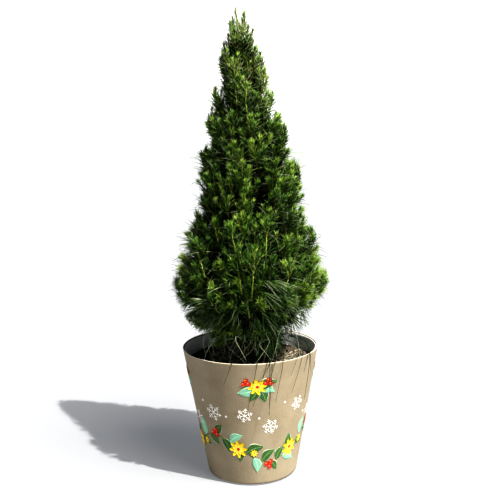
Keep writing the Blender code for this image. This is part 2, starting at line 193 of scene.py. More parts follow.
def makePiece(name, points, faceLists, finish, slotName, replaced=(), rounded=True, marks=None):
    # puts point and face arrays into a mesh; faceLists holds one array for each number of corners
    mesh = bpy.data.meshes.new(name)
    faceLists = [np.asarray(faces, np.int32) for faces in faceLists if len(faces)]
    corners = np.concatenate([faces.ravel() for faces in faceLists])
    totals = np.concatenate([np.full(len(faces), faces.shape[1], np.int32) for faces in faceLists])
    mesh.vertices.add(len(points))
    mesh.vertices.foreach_set("co", np.asarray(points, np.float32).ravel())
    mesh.loops.add(len(corners))
    mesh.polygons.add(len(totals))
    mesh.polygons.foreach_set("loop_start", np.concatenate([[0], np.cumsum(totals)[:-1]]).astype(np.int32))
    mesh.polygons.foreach_set("loop_total", totals)
    mesh.loops.foreach_set("vertex_index", corners)
    mesh.polygons.foreach_set("use_smooth", np.full(len(totals), rounded))
    if marks is not None:  # a pair of values for each point, kept as a UV map
        layer = mesh.uv_layers.new(name="marks")
        layer.data.foreach_set("uv", np.asarray(marks, np.float32)[corners].ravel())
    mesh.materials.append(finish.material)
    mesh.update(calc_edges=True)
    mesh.validate()
    piece = newObject(name, mesh)
    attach(piece, "root")
    if replaced:
        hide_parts(*replaced)


def gridFaces(rows, columns, closedColumns=True, closedRows=False):
    # quads of a grid of points, row after row, that face the side where rows go up and columns turn left
    row = np.arange(rows if closedRows else rows - 1)[:, None]
    column = np.arange(columns if closedColumns else columns - 1)[None, :]
    nextRow, nextColumn = (row + 1) % rows, (column + 1) % columns
    quads = [row * columns + column, row * columns + nextColumn,
             nextRow * columns + nextColumn, nextRow * columns + column]
    return np.stack(np.broadcast_arrays(*quads), -1).reshape(-1, 4)


def turnedPiece(name, rows, angles, finish, slotName, node, flipped=False):
    # rows of (radius, height), each a number or a value for each angle, turned about Z into one closed skin
    points = np.concatenate([polar(r, angles, z) for r, z in rows])
    faces = gridFaces(len(rows), len(angles), closedRows=True)
    makePiece(name, points, [faces[:, ::-1] if flipped else faces], finish, slotName, [node])


def tubeFaces(count, rings, sides):
    # the walls and the two ends of every tube
    firsts = (np.arange(count) * rings * sides)[:, None, None]
    caps = np.stack([np.arange(sides)[::-1], (rings - 1) * sides + np.arange(sides)])
    return (gridFaces(rings, sides)[None] + firsts).reshape(-1, 4), (caps[None] + firsts).reshape(-1, sides)


def strands(line, radius, sides, along=None, away=None):
    # closed tubes about lines of points, one row of points for each tube, with a radius at every point or at
    # every point and angle: point + radius * (side * cos + other * sin)
    side, other = squareTo(unit(np.gradient(line, axis=1)) if along is None else along, away)
    angles = np.arange(sides) * math.tau / sides
    around = facing(side[:, :, None], other[:, :, None], angles[:, None])
    radius = np.broadcast_to(radius, line.shape[:2])[..., None] if np.ndim(radius) < 3 else radius
    points = line[:, :, None] + radius[..., None] * around
    return points.reshape(-1, 3), *tubeFaces(*line.shape[:2], sides)


def curve(starts, middles, ends, s):
    # places on (1-s)^2 start + 2s(1-s) middle + s^2 end, and the way the curve runs there
    line = (1 - s) ** 2 * starts + 2 * s * (1 - s) * middles + s * s * ends
    return line, unit(2 * (1 - s) * (middles - starts) + 2 * s * (ends - middles))


def tubes(points, radiusLow, radiusHigh, sides, rings):
    # closed tubes along curves, tapering straight from foot to tip
    s = np.linspace(0, 1, rings)[None, :, None]
    line, along = curve(*(part[:, None] for part in points), s)
    return strands(line, between((radiusLow[:, None], radiusHigh[:, None]), s[..., 0]), sides, along)


view = dict(place=(0.0034, -1.337, 0.616), pitch=8.42, roll=1.19, focal=736.8, frame=500, sensor=36.0,
            near=0.05, far=60)
light = dict(keyTurn=50.0, keyHeight=55.0, keys=((4.6, 0.6), (1.9, 34.0)), keyColour=(1.0, 0.97, 0.91),
             skyBand=(0.185, 0.215), skyColours=((1.0, 1.0, 1.0, 1.0), (0.088, 0.096, 0.118, 1.0)))
ground = dict(half=60.0, colour=(0.250, 0.256, 0.270), glow=0.14, glowColour=(0.95, 0.97, 1.0, 1.0))


def makeView():
    # the lens is the focal length in pixels over the frame's pixels, times the sensor's width
    camera = newObject("view", bpy.data.cameras.new("view"))
    camera.data.sensor_width = view["sensor"]
    camera.data.lens = view["focal"] / view["frame"] * view["sensor"]
    camera.data.clip_start, camera.data.clip_end = view["near"], view["far"]
    camera.location = view["place"]
    # turned about its own line of sight first, then tipped down from level
    tip, roll = math.radians(90 - view["pitch"]), math.radians(view["roll"])
    camera.rotation_euler = (Matrix.Rotation(tip, 3, "X") @ Matrix.Rotation(-roll, 3, "Z")).to_euler()
    bpy.context.scene.camera = camera


def makeLamps():
    # two far lamps in one direction, high to the right of the camera: a narrow one for crisp detail and a
    # broad one that softens the shadows; each has its power and the width of its disc in degrees
    for number, (power, width) in enumerate(light["keys"]):
        lamp = newObject("keyLamp%d" % number, bpy.data.lights.new("keyLamp%d" % number, "SUN"))
        lamp.data.energy, lamp.data.color, lamp.data.angle = power, light["keyColour"], math.radians(width)
        lamp.rotation_euler = (math.radians(90 - light["keyHeight"]), 0, math.radians(light["keyTurn"]))


def makeSky():
    # white low down, where it shows behind the object, and dim overhead
    world = bpy.data.worlds.new("studio")
    world.use_nodes = True
    sky = Nodes(world.node_tree)
    way = sky.node("ShaderNodeTexCoord", output="Generated")
    height = sky.node("ShaderNodeSeparateXYZ", None, {0: way}, 2)
    stops = zip(light["skyBand"], light["skyColours"])
    colour = sky.node("ShaderNodeValToRGB", {"stops": stops}, {0: height})
    sky.set(world.node_tree.nodes["Background"], {"Color": colour})
    bpy.context.scene.world = world


def makeFloor():
    # one wide pale square at the ground
    half = ground["half"]
    mesh = bpy.data.meshes.new("floor")
    corners = [(-half, -half, 0), (half, -half, 0), (half, half, 0), (-half, half, 0)]
    mesh.from_pydata(corners, [], [(0, 1, 2, 3)])
    finish = Finish("paleFloor", ground["colour"], 0.9, emission_color=ground["glowColour"],
                    emission_strength=ground["glow"])
    mesh.materials.append(finish.material)
    newObject("floor", mesh)


makeView()
makeLamps()
makeSky()
makeFloor()
bpy.context.scene.view_settings.view_transform = "Standard"
bpy.context.scene.view_settings.look = "Very High Contrast"
print("camera, lights and floor set")


pot = dict(height=0.2400, radii=(0.0832, 0.1250), sleeveWall=0.0016, sleeveFoot=0.0030,
           potWall=0.0018, potFloor=0.0030, potBelowSleeve=0.0020, gap=0.0003, edge=0.0005,
           mixTop=0.2150, mixDish=0.0030, mixLevelRadius=0.0300)
# Each of the card's waves has a size, a number round the pot, a drift with height and a phase
sleeveLook = dict(wave=0.00075, growth=(0.25, 1), turns=240, heights=72,
                  waves=((0.40, 5, 1.5, 1.1), (0.28, 11, -2.2, 0), (0.20, 19, 3.1, 0.6), (0.12, 7, 9, 0)),
                  lapStep=0.00042, lapTurn=1.52, lapRise=0.006, lapFade=0.096, lapAngles=(-0.004, 0.012, 9))
# Each moulding has a size, a height and a width
potLook = dict(mouldings=((0.00035, 0.2265, 0.0011), (0.00022, 0.2210, 0.0008)), wrinkle=0.00022,
               turns=192, heights=90, footRadius=0.072, middle=0.0005)


def sleeveRadius(z):
    # the card's cone: the radius grows evenly from the foot to the rim
    return between(pot["radii"], z / pot["height"])


def potRadius(z):
    # the pot's outside, a gap within the card
    return sleeveRadius(z) - pot["sleeveWall"] - pot["gap"]


def sleeveSurface(turn, z):
    # outer radius of the card: the cone, low upright waves that grow to the rim, and the step of the lap
    share = z / pot["height"]
    waves = sum(size * np.sin(count * turn + drift * share + phase)
                for size, count, drift, phase in sleeveLook["waves"])
    proud = sleeveLook["wave"] * np.clip(0.5 + 0.5 * waves, 0, 1.2) * between(sleeveLook["growth"], share)
    offTurn = (turn - sleeveLook["lapTurn"] + math.pi) % math.tau - math.pi
    step = smooth(offTurn, 0, sleeveLook["lapRise"]) * (1 - smooth(offTurn, 0, sleeveLook["lapFade"]))
    return sleeveRadius(z) + proud + sleeveLook["lapStep"] * step


def kraftFinish():
    # card with soft clouds, pale and dark fibres, dark flecks and a pale cut edge
    kraft = Finish("kraftCard", (0.42, 0.34, 0.22), 0.82)
    clouds = kraft.noise(16, 4, 0.6)
    fibres = kraft.noise(420, 6, 0.78, 1.6, kraft.stretched((1, 1, 0.75)))
    crossFibres = kraft.noise(650, 5, 0.75, 2.4, kraft.stretched((1, 1, 1.5), (0.4, 0.3, 0)))
    flecks = kraft.node("ShaderNodeTexVoronoi", None, {"Vector": kraft.place(), "Scale": 420})
    flecks = kraft.ramp(flecks, 0.16, 0.06) * kraft.ramp(clouds, 0.45, 0.60)
    height = kraft.node("ShaderNodeSeparateXYZ", None, {0: kraft.place()}, 2)
    top, edge = pot["height"], pot["edge"]
    colour = kraft.over((0.262, 0.219, 0.152), clouds, 0.32, 0.68, 1, (0.338, 0.289, 0.210))
    colour = kraft.over(colour, fibres, 0.44, 0.74, 0.55, (0.445, 0.385, 0.280))
    colour = kraft.over(colour, crossFibres, 0.60, 0.80, 0.45, (0.170, 0.132, 0.080))
    colour = kraft.mix(flecks * 0.5, colour, (0.15, 0.105, 0.060))
    colour = kraft.over(colour, height, top - 1.4 * edge, top - 0.6 * edge, 0.8, (0.80, 0.74, 0.62))
    kraft.wear(base_color=colour, roughness=0.70 + 0.16 * fibres)
    kraft.bump(fibres + 0.6 * crossFibres, 0.00022, 0.7)
    return kraft


def makeSleeve():
    # a profile that runs down the inside, round the foot, up the outside and over the rim, turned about Z
    lap = sleeveLook["lapTurn"] + np.linspace(*sleeveLook["lapAngles"])
    angles = np.sort(np.concatenate([np.linspace(0, math.tau, sleeveLook["turns"], endpoint=False), lap]))
    top, foot, edge = pot["height"], pot["sleeveFoot"], pot["edge"]
    inner = lambda z: sleeveRadius(z) - pot["sleeveWall"]
    outerTop = sleeveSurface(angles, top)
    rows = [(inner(top - edge), top - edge), (inner(foot), foot)]
    rows += [(sleeveSurface(angles, z), z) for z in np.linspace(foot, top - edge, sleeveLook["heights"])]
    rows += [(outerTop - 0.35 * edge, top - 0.3 * edge), (outerTop - edge, top), (inner(top) + edge, top)]
    turnedPiece("cardSleeve", rows, angles, kraftFinish(), "kraft_card", "kraft_sleeve")


def makePot():
    # a pot, pale grey and dusty inside, the grey being painted light for the sun and sheen on its wall:
    # mouldings size * exp(-((z - height) / width)^2) near the rim, wrinkles made of two waves, a rolled edge
    # and a flat foot
    angles = np.linspace(0, math.tau, potLook["turns"], endpoint=False)
    top, wall, edge = pot["height"] - pot["potBelowSleeve"], pot["potWall"], pot["edge"]
    mouldings, rows = potLook["mouldings"], [(potLook["middle"], pot["potFloor"])]
    for z in np.linspace(pot["potFloor"], top - edge, potLook["heights"]):
        ridges = sum(size * np.exp(-((z - middle) / width) ** 2) for size, middle, width in mouldings)
        wrinkle = potLook["wrinkle"] * np.sin(9 * angles + 40 * z) * np.sin(23 * angles + 1.3)
        rows.append((potRadius(z) - wall - ridges - np.abs(wrinkle), z))
    rows += [(potRadius(top) - wall + edge, top), (potRadius(top) - edge, top)]
    rows += [(potRadius(top - edge), top - edge), (potRadius(edge), edge)]
    rows += [(potRadius(0) - edge, 0.0), (potLook["footRadius"], 0.0), (potLook["middle"], 0.0)]
    plastic = Finish("blackPlastic", (0.035, 0.037, 0.041), 0.55)
    dustAndSheen = plastic.noise(55, 5, 0.65)
    scuffs = plastic.noise(30, 4, 0.6, 0.6, plastic.stretched((1, 1, 5.5)))
    # both greys are painted light, far paler than black plastic, for the sun and sheen on the inner wall; the
    # noise between them is dust
    colour = plastic.over((0.66, 0.675, 0.70), dustAndSheen, 0.35, 0.75, 1, (0.80, 0.81, 0.825))
    colour = plastic.over(colour, scuffs, 0.58, 0.78, 0.6, (0.19, 0.19, 0.185))
    plastic.wear(base_color=colour, roughness=0.46 + 0.22 * dustAndSheen)
    plastic.bump(scuffs + 0.5 * dustAndSheen, 0.0004, 0.5)
    turnedPiece("nurseryPot", rows, angles, plastic, "black_plastic", "nursery_pot", flipped=True)


# The print: each mark is a thin sheet of ink on the card, and a higher level lies over a lower one
ink = dict(lift=0.00006, thickness=0.00010, step=0.00016, roughness=0.72)
inks = dict(
    leafGreen=dict(name="printLeaves", colour=(0.040, 0.125, 0.028), veins=(0.24, 0.36, 0.15),
                   edge=(0.62, 0.66, 0.50)),
    mint=dict(name="printMintLeaves", colour=(0.235, 0.50, 0.34), veins=(0.52, 0.74, 0.58),
              edge=(0.50, 0.66, 0.50)),
    starYellow=dict(name="printBlossoms", colour=(0.80, 0.56, 0.012)),
    paleYellow=dict(name="printPetals", colour=(0.88, 0.72, 0.10)),
    berryRed=dict(name="printBerries", colour=(0.56, 0.030, 0.020)),
    snowWhite=dict(name="printSnowflakes", colour=(0.86, 0.84, 0.78)),
    stemGreen=dict(name="printStems", colour=(0.115, 0.20, 0.06)))
garland = dict(level=0.072, sway=0.024, swings=3, phase=2.1, stemHalf=0.0009, leafStep=0.0150,
               leafTurn=(40, 66), leafSize=(0.026, 0.036), every=7, mintPlaces=(1, 4), starSize=0.0180,
               starSpread=(0.9, 1.1), starUp=0.003, budShare=0.42, budDown=0.010, berrySize=0.0048,
               berryUp=0.005, seed=71)
sprig = dict(count=4, first=0.06, height=0.190, rise=0.005, leaves=6, fan=44, waver=8, leafShare=0.95,
             starShare=0.85, starUp=0.002, berryShare=0.8, berryOut=0.017, berryUp=0.010)
snow = dict(count=13, first=0.4, waver=(-0.006, 0.006), height=0.134, sway=0.019, upWaver=(-0.003, 0.003),
            size=(0.011, 0.0165), dotSize=0.0020, dotMirror=0.278, arm=0.10, sideArm=0.085,
            sides=((0.45, 0.34), (0.72, 0.24)))


class PrintSheet:
    # gathers marks of one ink, and lays them on the sleeve as one piece
    def __init__(self):
        self.points, self.faces, self.marks, self.count = [], [], [], 0

    def lay(self, around, up, closed, level, marks=None):
        # a grid of places on the unrolled card (around, up in metres) becomes a thin closed sheet
        turn = around / sleeveRadius(0.5 * pot["height"])
        lower = sleeveSurface(turn, up) + ink["lift"] + level * ink["step"]
        for radius in (lower, lower + ink["thickness"]):
            self.points.append(polar(radius, turn, up).reshape(-1, 3))
            self.marks.append(np.zeros((around.size, 2)) if marks is None else marks.reshape(-1, 2))
        index = np.arange(around.size).reshape(around.shape)
        if closed:  # round marks: the first row is the middle, and the last row the rim
            loops = [index[-1], index[0, ::-1]]
        else:
            loops = [np.concatenate([index[0, :-1], index[:-1, -1], index[-1, :0:-1], index[:0:-1, 0]])]
        sheet = gridFaces(*around.shape, closedColumns=closed)
        faces = [sheet + around.size, sheet[:, ::-1]]
        for loop in loops:
            after = np.roll(loop, -1)
            faces.append(np.stack([loop, after, after + around.size, loop + around.size], -1))
        # the faces turn over where the grid's rows and columns turn the other way round on the card
        grid, middle = np.stack([around, up]), len(around) // 2
        rowStep = grid[:, -1, 0] - grid[:, 0, 0]
        columnStep = grid[:, middle, 1 if closed else -1] - grid[:, middle, 0]
        turnedOver = columnStep[0] * rowStep[1] < columnStep[1] * rowStep[0]
        self.faces.append(np.concatenate(faces)[:, ::-1 if turnedOver else 1] + self.count)
        self.count += 2 * around.size

    def make(self, name, finish):
        points, faces, marks = (np.concatenate(parts) for parts in (self.points, self.faces, self.marks))
        makePiece(name, points, [faces], finish, "kraft_card", marks=marks)


def spun(x, y, turn):
    # x and y turned by an angle about the origin
    return x * np.cos(turn) - y * np.sin(turn), x * np.sin(turn) + y * np.cos(turn)


def leafMark(sheet, around, up, size, turn, level):
    # a pointed leaf: half width 0.30 * size * sin(pi t^0.8) at share t of its length, bowed to one side
    t, w = np.meshgrid(np.linspace(0, 1, 15), np.linspace(-1, 1, 9), indexing="ij")
    bow = 0.10 * size * np.sin(math.pi * t)
    x, y = spun(t * size, w * 0.30 * size * np.sin(math.pi * t ** 0.8) + bow, turn)
    sheet.lay(around + x, up + y, False, level, np.stack([t, 0.5 + 0.5 * w], -1))


def roundMark(sheet, around, up, size, level, lobes=1, depth=0.0, turn=0.0):
    # a round, or a star of lobes: radius size * (1 - depth * (1 - |cos|^1.3)) at each angle
    angles = np.linspace(0, math.tau, max(lobes * 12, 36), endpoint=False)
    rim = size * (1 - depth * (1 - np.abs(np.cos(0.5 * lobes * (angles - turn))) ** 1.3))
    share = np.array([0.02, 0.35, 0.7, 1.0])[:, None]
    sheet.lay(around + share * rim * np.cos(angles), up + share * rim * np.sin(angles), True, level)


def stripMark(sheet, start, length, width, turn, level):
    # a straight strip of one width
    x, y = np.meshgrid(np.linspace(0, length, 7), np.linspace(-0.5 * width, 0.5 * width, 3), indexing="ij")
    x, y = spun(x, y, turn)
    sheet.lay(start[0] + x, start[1] + y, False, level)


def snowflakeMark(sheet, around, up, size, turn):
    # six arms, each with two pairs of side arms at 60 degrees to it
    for arm in range(6):
        angle = turn + arm * math.pi / 3
        stripMark(sheet, (around, up), size, snow["arm"] * size, angle, arm % 2)
        for share, reach in snow["sides"]:
            root = np.add((around, up), spun(share * size, 0, angle))
            for side in (-1, 1):
                slant = angle + side * math.pi / 3
                stripMark(sheet, root, reach * size, snow["sideArm"] * size, slant, 2 + (side > 0))


def blossomMark(sheets, around, up, size, turn):
    # a star blossom: two layers of pointed petals and a round eye
    roundMark(sheets["starYellow"], around, up, size, 5, 8, 0.52, turn)
    roundMark(sheets["paleYellow"], around, up, 0.62 * size, 6, 8, 0.50, turn + math.pi / 8)
    roundMark(sheets["berryRed"], around, up, 0.17 * size, 7)


def berryMark(sheets, around, up, size, turn):
    # three round berries that touch, each with a small light spot
    for berry in range(3):
        x, y = np.add((around, up), spun(1.15 * size, 0, turn + berry * math.tau / 3))
        roundMark(sheets["berryRed"], x, y, size, 5 + berry)
        roundMark(sheets["paleYellow"], x - 0.3 * size, y + 0.3 * size, 0.2 * size, 8)


def inkFinish(name, colour, veins=None, edge=None):
    # matt ink that lets a little of the card's grain through; leaves have veins and a pale edge
    finish = Finish(name, colour, ink["roughness"])
    grain = finish.noise(300, 4, 0.7, 1.0)
    made = finish.over(colour, grain, 0.48, 0.85, 0.45, tuple(min(1, 0.6 * value + 0.16) for value in colour))
    if veins:
        marks = finish.node("ShaderNodeUVMap", {"uv_map": "marks"})
        run, across = (finish.node("ShaderNodeSeparateXYZ", None, {0: marks}, output) for output in (0, 1))
        offMiddle = across.maths("ABSOLUTE", across - 0.5)
        wave = across.maths("FRACT", run * 8.0 - offMiddle * 5.0)
        side = finish.ramp(wave, 0.16, 0.06) * finish.ramp(offMiddle, 0.44, 0.36)
        midrib = finish.ramp(offMiddle, 0.045, 0.022)
        made = finish.mix(side.maths("MAXIMUM", midrib, side * 0.7), made, veins)
        made = finish.over(made, offMiddle, 0.440, 0.462, 1, edge)
    finish.wear(base_color=made, roughness=0.64 + 0.18 * grain)
    return finish


def makeGarland(sheets, girth, rng):
    # a stem that waves round the pot with leaves to both sides, and blossoms, buds and berries in turn; its
    # height is level + sway * sin(swings * angle + phase)
    level = lambda around: garland["level"] + garland["sway"] * np.sin(
        garland["swings"] * math.tau * around / girth + garland["phase"])
    half = garland["stemHalf"]
    around, across = np.meshgrid(np.linspace(0, girth, 361), np.linspace(-half, half, 3), indexing="ij")
    sheets["stemGreen"].lay(around, level(around) + across, False, 0)
    steps, star = int(girth / garland["leafStep"]), garland["starSize"]
    for step in range(steps):
        around = (step + 0.5) * girth / steps
        up, side = float(level(around)), 1 if step % 2 else -1
        slope = math.atan2(float(level(around + 0.004)) - up, 0.004)
        turn = slope + side * math.radians(rng.uniform(*garland["leafTurn"]))
        place = step % garland["every"]
        green = "mint" if place in garland["mintPlaces"] else "leafGreen"
        leafMark(sheets[green], around, up, rng.uniform(*garland["leafSize"]), turn, 1 + step % 3)
        if place == 2:
            size = star * rng.uniform(*garland["starSpread"])
            blossomMark(sheets, around, up + side * garland["starUp"], size, rng.uniform(0, 1))
        elif place == 6:
            berryMark(sheets, around, up + side * garland["berryUp"], garland["berrySize"], rng.uniform(0, 2))
        elif place == 4:
            size = garland["budShare"] * star
            blossomMark(sheets, around, up - side * garland["budDown"], size, rng.uniform(0, 1))


def makeSprigs(sheets, girth, rng):
    # fans of leaves that hang below a blossom between two bunches of berries
    for number in range(sprig["count"]):
        around = (number + sprig["first"]) * girth / sprig["count"]
        up = sprig["height"] + sprig["rise"] * (number % 2)
        for leaf in range(sprig["leaves"]):
            fan = (leaf - 0.5 * (sprig["leaves"] - 1)) * sprig["fan"]
            turn = math.radians(-90 + fan + rng.uniform(-sprig["waver"], sprig["waver"]))
            green = "mint" if leaf in garland["mintPlaces"] else "leafGreen"
            size = rng.uniform(*garland["leafSize"]) * sprig["leafShare"]
            leafMark(sheets[green], around, up, size, turn, 1 + leaf % 3)
        size, berrySize = sprig["starShare"] * garland["starSize"], sprig["berryShare"] * garland["berrySize"]
        blossomMark(sheets, around, up + sprig["starUp"], size, 0.3 + number)
        for side in (-1, 1):
            beside = around + side * sprig["berryOut"]
            berryMark(sheets, beside, up + sprig["berryUp"], berrySize, 0.5 + side)


def makeSnow(sheet, girth, rng):
    # a belt of snowflakes at uneven heights, with a dot after each
    step = girth / snow["count"]
    for number in range(snow["count"]):
        around = (number + snow["first"]) * step + rng.uniform(*snow["waver"])
        up = snow["height"] + snow["sway"] * math.sin(number * 2.4) + rng.uniform(*snow["upWaver"])
        snowflakeMark(sheet, around, up, rng.uniform(*snow["size"]), rng.uniform(0, 1))
        roundMark(sheet, around + 0.5 * step, snow["dotMirror"] - up, snow["dotSize"], 0)


def makePrint():
    # every mark first, sheet by sheet, then one piece for each ink
    rng = random.Random(garland["seed"])
    sheets = {key: PrintSheet() for key in inks}
    girth = math.tau * sleeveRadius(0.5 * pot["height"])
    makeGarland(sheets, girth, rng)
    makeSprigs(sheets, girth, rng)
    makeSnow(sheets["snowWhite"], girth, rng)
    for key, facts in inks.items():
        looks = {name: value for name, value in facts.items() if name != "name"}
        sheets[key].make(facts["name"], inkFinish(key + "Ink", **looks))


makeSleeve()
makePot()
makePrint()
print("pot, sleeve and print made")


mix = dict(clod=0.0032, grain=0.0011, rings=70, turns=260, clear=0.0006, middle=0.0004, firstRing=0.004)
# Each kind of crumb has a count, a range of sizes, a flatness, a length, a seed, and how one-sided it lies
crumbs = dict(barkChips=(1500, (0.0016, 0.0062), 0.45, 1.7, 11, None),
              perliteGrains=(520, (0.0014, 0.0038), 0.8, 1.0, 12, 0.8))
# The pale fallen needles are near-white: painted light that makes them show on the shaded side of the mix
fallen = dict(
    kinds=(("fallenTanNeedles", (0.42, 0.38, 0.29), 300), ("fallenBrownNeedles", (0.26, 0.21, 0.15), 300),
           ("fallenPaleNeedles", (0.90, 0.86, 0.76), 150)),
    length=(0.016, 0.060), bow=0.24, radius=0.00065, lift=(0.0010, 0.0022), middleClear=0.012, clear=0.003,
    seed=30)


def mixEdge(clear, z=pot["mixTop"]):
    # the radius that stands clear of the pot's wall at a height
    return potRadius(z) - pot["potWall"] - clear


def lumps(x, y, seed, waves=26, low=60.0, high=900.0):
    # uneven ground: a sum of plane waves of random direction and growing frequency, about -1 to 1
    rng = np.random.default_rng(seed)
    total, weight = 0.0, 0.0
    for frequency in np.geomspace(low, high, waves):
        angle, phase = rng.uniform(0, math.tau, 2)
        share = (low / frequency) ** 0.55
        total = total + share * np.sin(frequency * (x * np.cos(angle) + y * np.sin(angle)) + phase)
        weight += share * share
    return total / math.sqrt(weight)


def mixLevel(x, y):
    # the solid's dished top, with clods that settle towards the wall and the trunk
    r, edge, level = np.hypot(x, y), mixEdge(pot["gap"]), pot["mixLevelRadius"]
    share = np.clip((r - level) / (edge - level), 0, 1)
    calm = smooth(edge - r, 0.0, 0.006) * smooth(r, 0.010, 0.020)
    rough = 0.5 * mix["clod"] * lumps(x, y, 5) + 0.5 * mix["grain"] * lumps(x, y, 6, 18, 700.0, 2600.0)
    return pot["mixTop"] - pot["mixDish"] * share ** 2 + rough * calm


def makeMix():
    # rings out over the uneven top, then down the wall and in along the pot's floor, turned about Z
    angles = np.linspace(0, math.tau, mix["turns"], endpoint=False)
    clear, foot = pot["gap"] + mix["clear"], pot["potFloor"] + pot["gap"]
    radii = [mix["middle"], *np.linspace(mix["firstRing"], mixEdge(clear), mix["rings"])]
    rows = [(r, mixLevel(r * np.cos(angles), r * np.sin(angles))) for r in radii]
    rows += [(mixEdge(clear, foot), foot), (mix["middle"], foot)]
    soil = Finish("pottingMix", (0.014, 0.010, 0.008), 0.95)
    grain, patches = soil.noise(420, 6, 0.7), soil.noise(45, 4, 0.6)
    colour = soil.over((0.016, 0.016, 0.013), grain, 0.35, 0.70, 1, (0.066, 0.062, 0.046))
    colour = soil.over(colour, patches, 0.52, 0.70, 0.4, (0.070, 0.046, 0.029))
    soil.wear(base_color=colour, roughness=0.86 + 0.12 * grain)
    soil.bump(grain, 0.0010, 0.8)
    turnedPiece("pottingMix", rows, angles, soil, "potting_mix", "potting_mix", flipped=True)


def scatterOnMix(count, rng, clear=0.004, inner=0.012):
    # places on the mix, even over its area, as (x, y) arrays
    radius = np.sqrt(rng.uniform(inner ** 2, mixEdge(clear) ** 2, count))
    angle = rng.uniform(0, math.tau, count)
    return radius * np.cos(angle), radius * np.sin(angle)


def makeCrumbs(name, finish):
    # rough eight-cornered bits, each a box with its corners pushed in at random and turned at random
    count, sizes, flatness, length, seed, side = crumbs[name]
    rng = np.random.default_rng(seed)
    x, y = scatterOnMix(count, rng)
    if side is not None:  # more of them towards one side
        keep = rng.uniform(0, 1, count) < np.clip(0.30 + (side * x - 0.3 * y) / 0.12, 0.04, 1)
        x, y = x[keep], y[keep]
    count = len(x)
    size = rng.uniform(*sizes, count)
    corners = np.array([(a, b, c) for c in (-1, 1) for b in (-1, 1) for a in (-1, 1)], float)
    shape = corners[None] * rng.uniform(0.55, 1.0, (count, 8, 3))
    shape = shape * np.stack([size * length, size, size * flatness], -1)[:, None] * 0.5
    turn, tilt = rng.uniform(0, math.tau, (count, 1)), rng.normal(0, 0.35, (count, 1))
    across, up = spun(shape[..., 0], shape[..., 2], tilt)
    points = np.stack([*spun(across, shape[..., 1], turn), up], -1)
    points += np.stack([x, y, mixLevel(x, y) + 0.22 * size * flatness], -1)[:, None]
    quads = np.array([(0, 2, 3, 1), (4, 5, 7, 6), (0, 1, 5, 4), (2, 6, 7, 3), (0, 4, 6, 2), (1, 3, 7, 5)])
    faces = (quads[None] + (np.arange(count) * 8)[:, None, None]).reshape(-1, 4)
    makePiece(name, points.reshape(-1, 3), [faces], finish, "potting_mix", rounded=False)


def makeFallenNeedles():
    # dry needles that lie on the mix, each bowed by bow * (1/4 - s^2) and following its surface
    s = np.linspace(-0.5, 0.5, 5)
    for number, (name, colour, count) in enumerate(fallen["kinds"]):
        rng = np.random.default_rng(fallen["seed"] + number)
        x, y = scatterOnMix(count, rng, fallen["middleClear"])
        if name == "fallenPaleNeedles":  # they lie on the shaded side, near-white as painted light so that they show there
            x = -np.abs(x) + 0.012
        angle, length = rng.uniform(0, math.tau, (count, 1)), rng.uniform(*fallen["length"], (count, 1))
        bow = rng.normal(0, fallen["bow"], (count, 1)) * (0.25 - s ** 2) * length * 2
        along, across = spun(s * length, bow, angle)
        x, y = x[:, None] + along, y[:, None] + across
        inward = np.minimum(1, mixEdge(fallen["clear"]) / np.hypot(x, y))
        x, y = x * inward, y * inward
        line = np.stack([x, y, mixLevel(x, y) + rng.uniform(*fallen["lift"], (count, 1))], -1)
        points, quads, caps = strands(line, fallen["radius"] * (1 - 3 * s ** 2), 3)
        makePiece(name, points, [quads, caps], Finish(name + "Finish", colour, 0.6), "potting_mix")


def makeMixBits():
    # bark chips, perlite and fallen needles on the mix
    bark = Finish("barkChips", (0.075, 0.042, 0.024), 0.9)
    colour = bark.over((0.034, 0.032, 0.024), bark.noise(60, 2), 0.44, 0.64, 1, (0.094, 0.093, 0.072))
    bark.wear(base_color=colour)
    bark.bump(bark.noise(700, 4, 0.6), 0.0003, 0.6)
    makeCrumbs("barkChips", bark)
    pale = Finish("perlite", (0.66, 0.62, 0.54), 0.85)
    pale.wear(base_color=pale.over((0.60, 0.58, 0.52), pale.noise(500, 3), 0.4, 0.7, 1, (0.34, 0.30, 0.23)))
    pale.bump(pale.noise(1500, 3, 0.6), 0.0002, 0.5)
    makeCrumbs("perliteGrains", pale)
    makeFallenNeedles()


makeMix()
makeMixBits()
print("potting mix made")


trunk = dict(foot=pot["mixTop"] + pot["gap"], top=0.7300, radii=(0.0082, 0.0019), flare=0.0042,
             flareHeight=0.0110, tipHeight=0.8430, tipLean=-0.0130, leanPower=4)
# The crown's outline: height and radius
crown = ((0.228, 0.050), (0.248, 0.075), (0.275, 0.100), (0.310, 0.120), (0.338, 0.133), (0.360, 0.140),
         (0.385, 0.135), (0.442, 0.119), (0.486, 0.101), (0.573, 0.088), (0.640, 0.069), (0.686, 0.057),
         (0.729, 0.043), (0.790, 0.030), (0.850, 0.008))
tiers = (
    dict(height=0.2235, rise=0.00, masses=5, turn=18, columns=3, rows=2, lean=(-38, 10)),
    dict(height=0.2620, rise=0.50, masses=5, turn=54, columns=4, rows=3, lean=(12, 56)),
    dict(height=0.3250, rise=0.80, masses=4, turn=20, columns=4, rows=2, lean=(48, 68)),
    dict(height=0.4050, rise=1.00, masses=4, turn=65, columns=3, rows=3, lean=(60, 74)),
    dict(height=0.4950, rise=1.20, masses=3, turn=8, columns=4, rows=2, lean=(64, 78)),
    dict(height=0.5850, rise=1.40, masses=3, turn=68, columns=2, rows=3, lean=(68, 82)),
)
leaderSpace = dict(height=0.6900, rise=3.30)
bough = dict(tiers=4, share=0.34, radius=0.0034, tipRadius=0.0022, rings=4, collar=0.002, arch=0.004)
stem = dict(reach=0.68, sag=0.006, collar=0.003, aboveFloor=0.022, rootEnd=0.97)
shootRule = dict(length=(0.044, 0.058), jitter=(0.94, 1.03), tries=12, shorter=0.9, margin=0.0009, seed=4100,
                 within=(0.15, 0.85), sector=0.92)
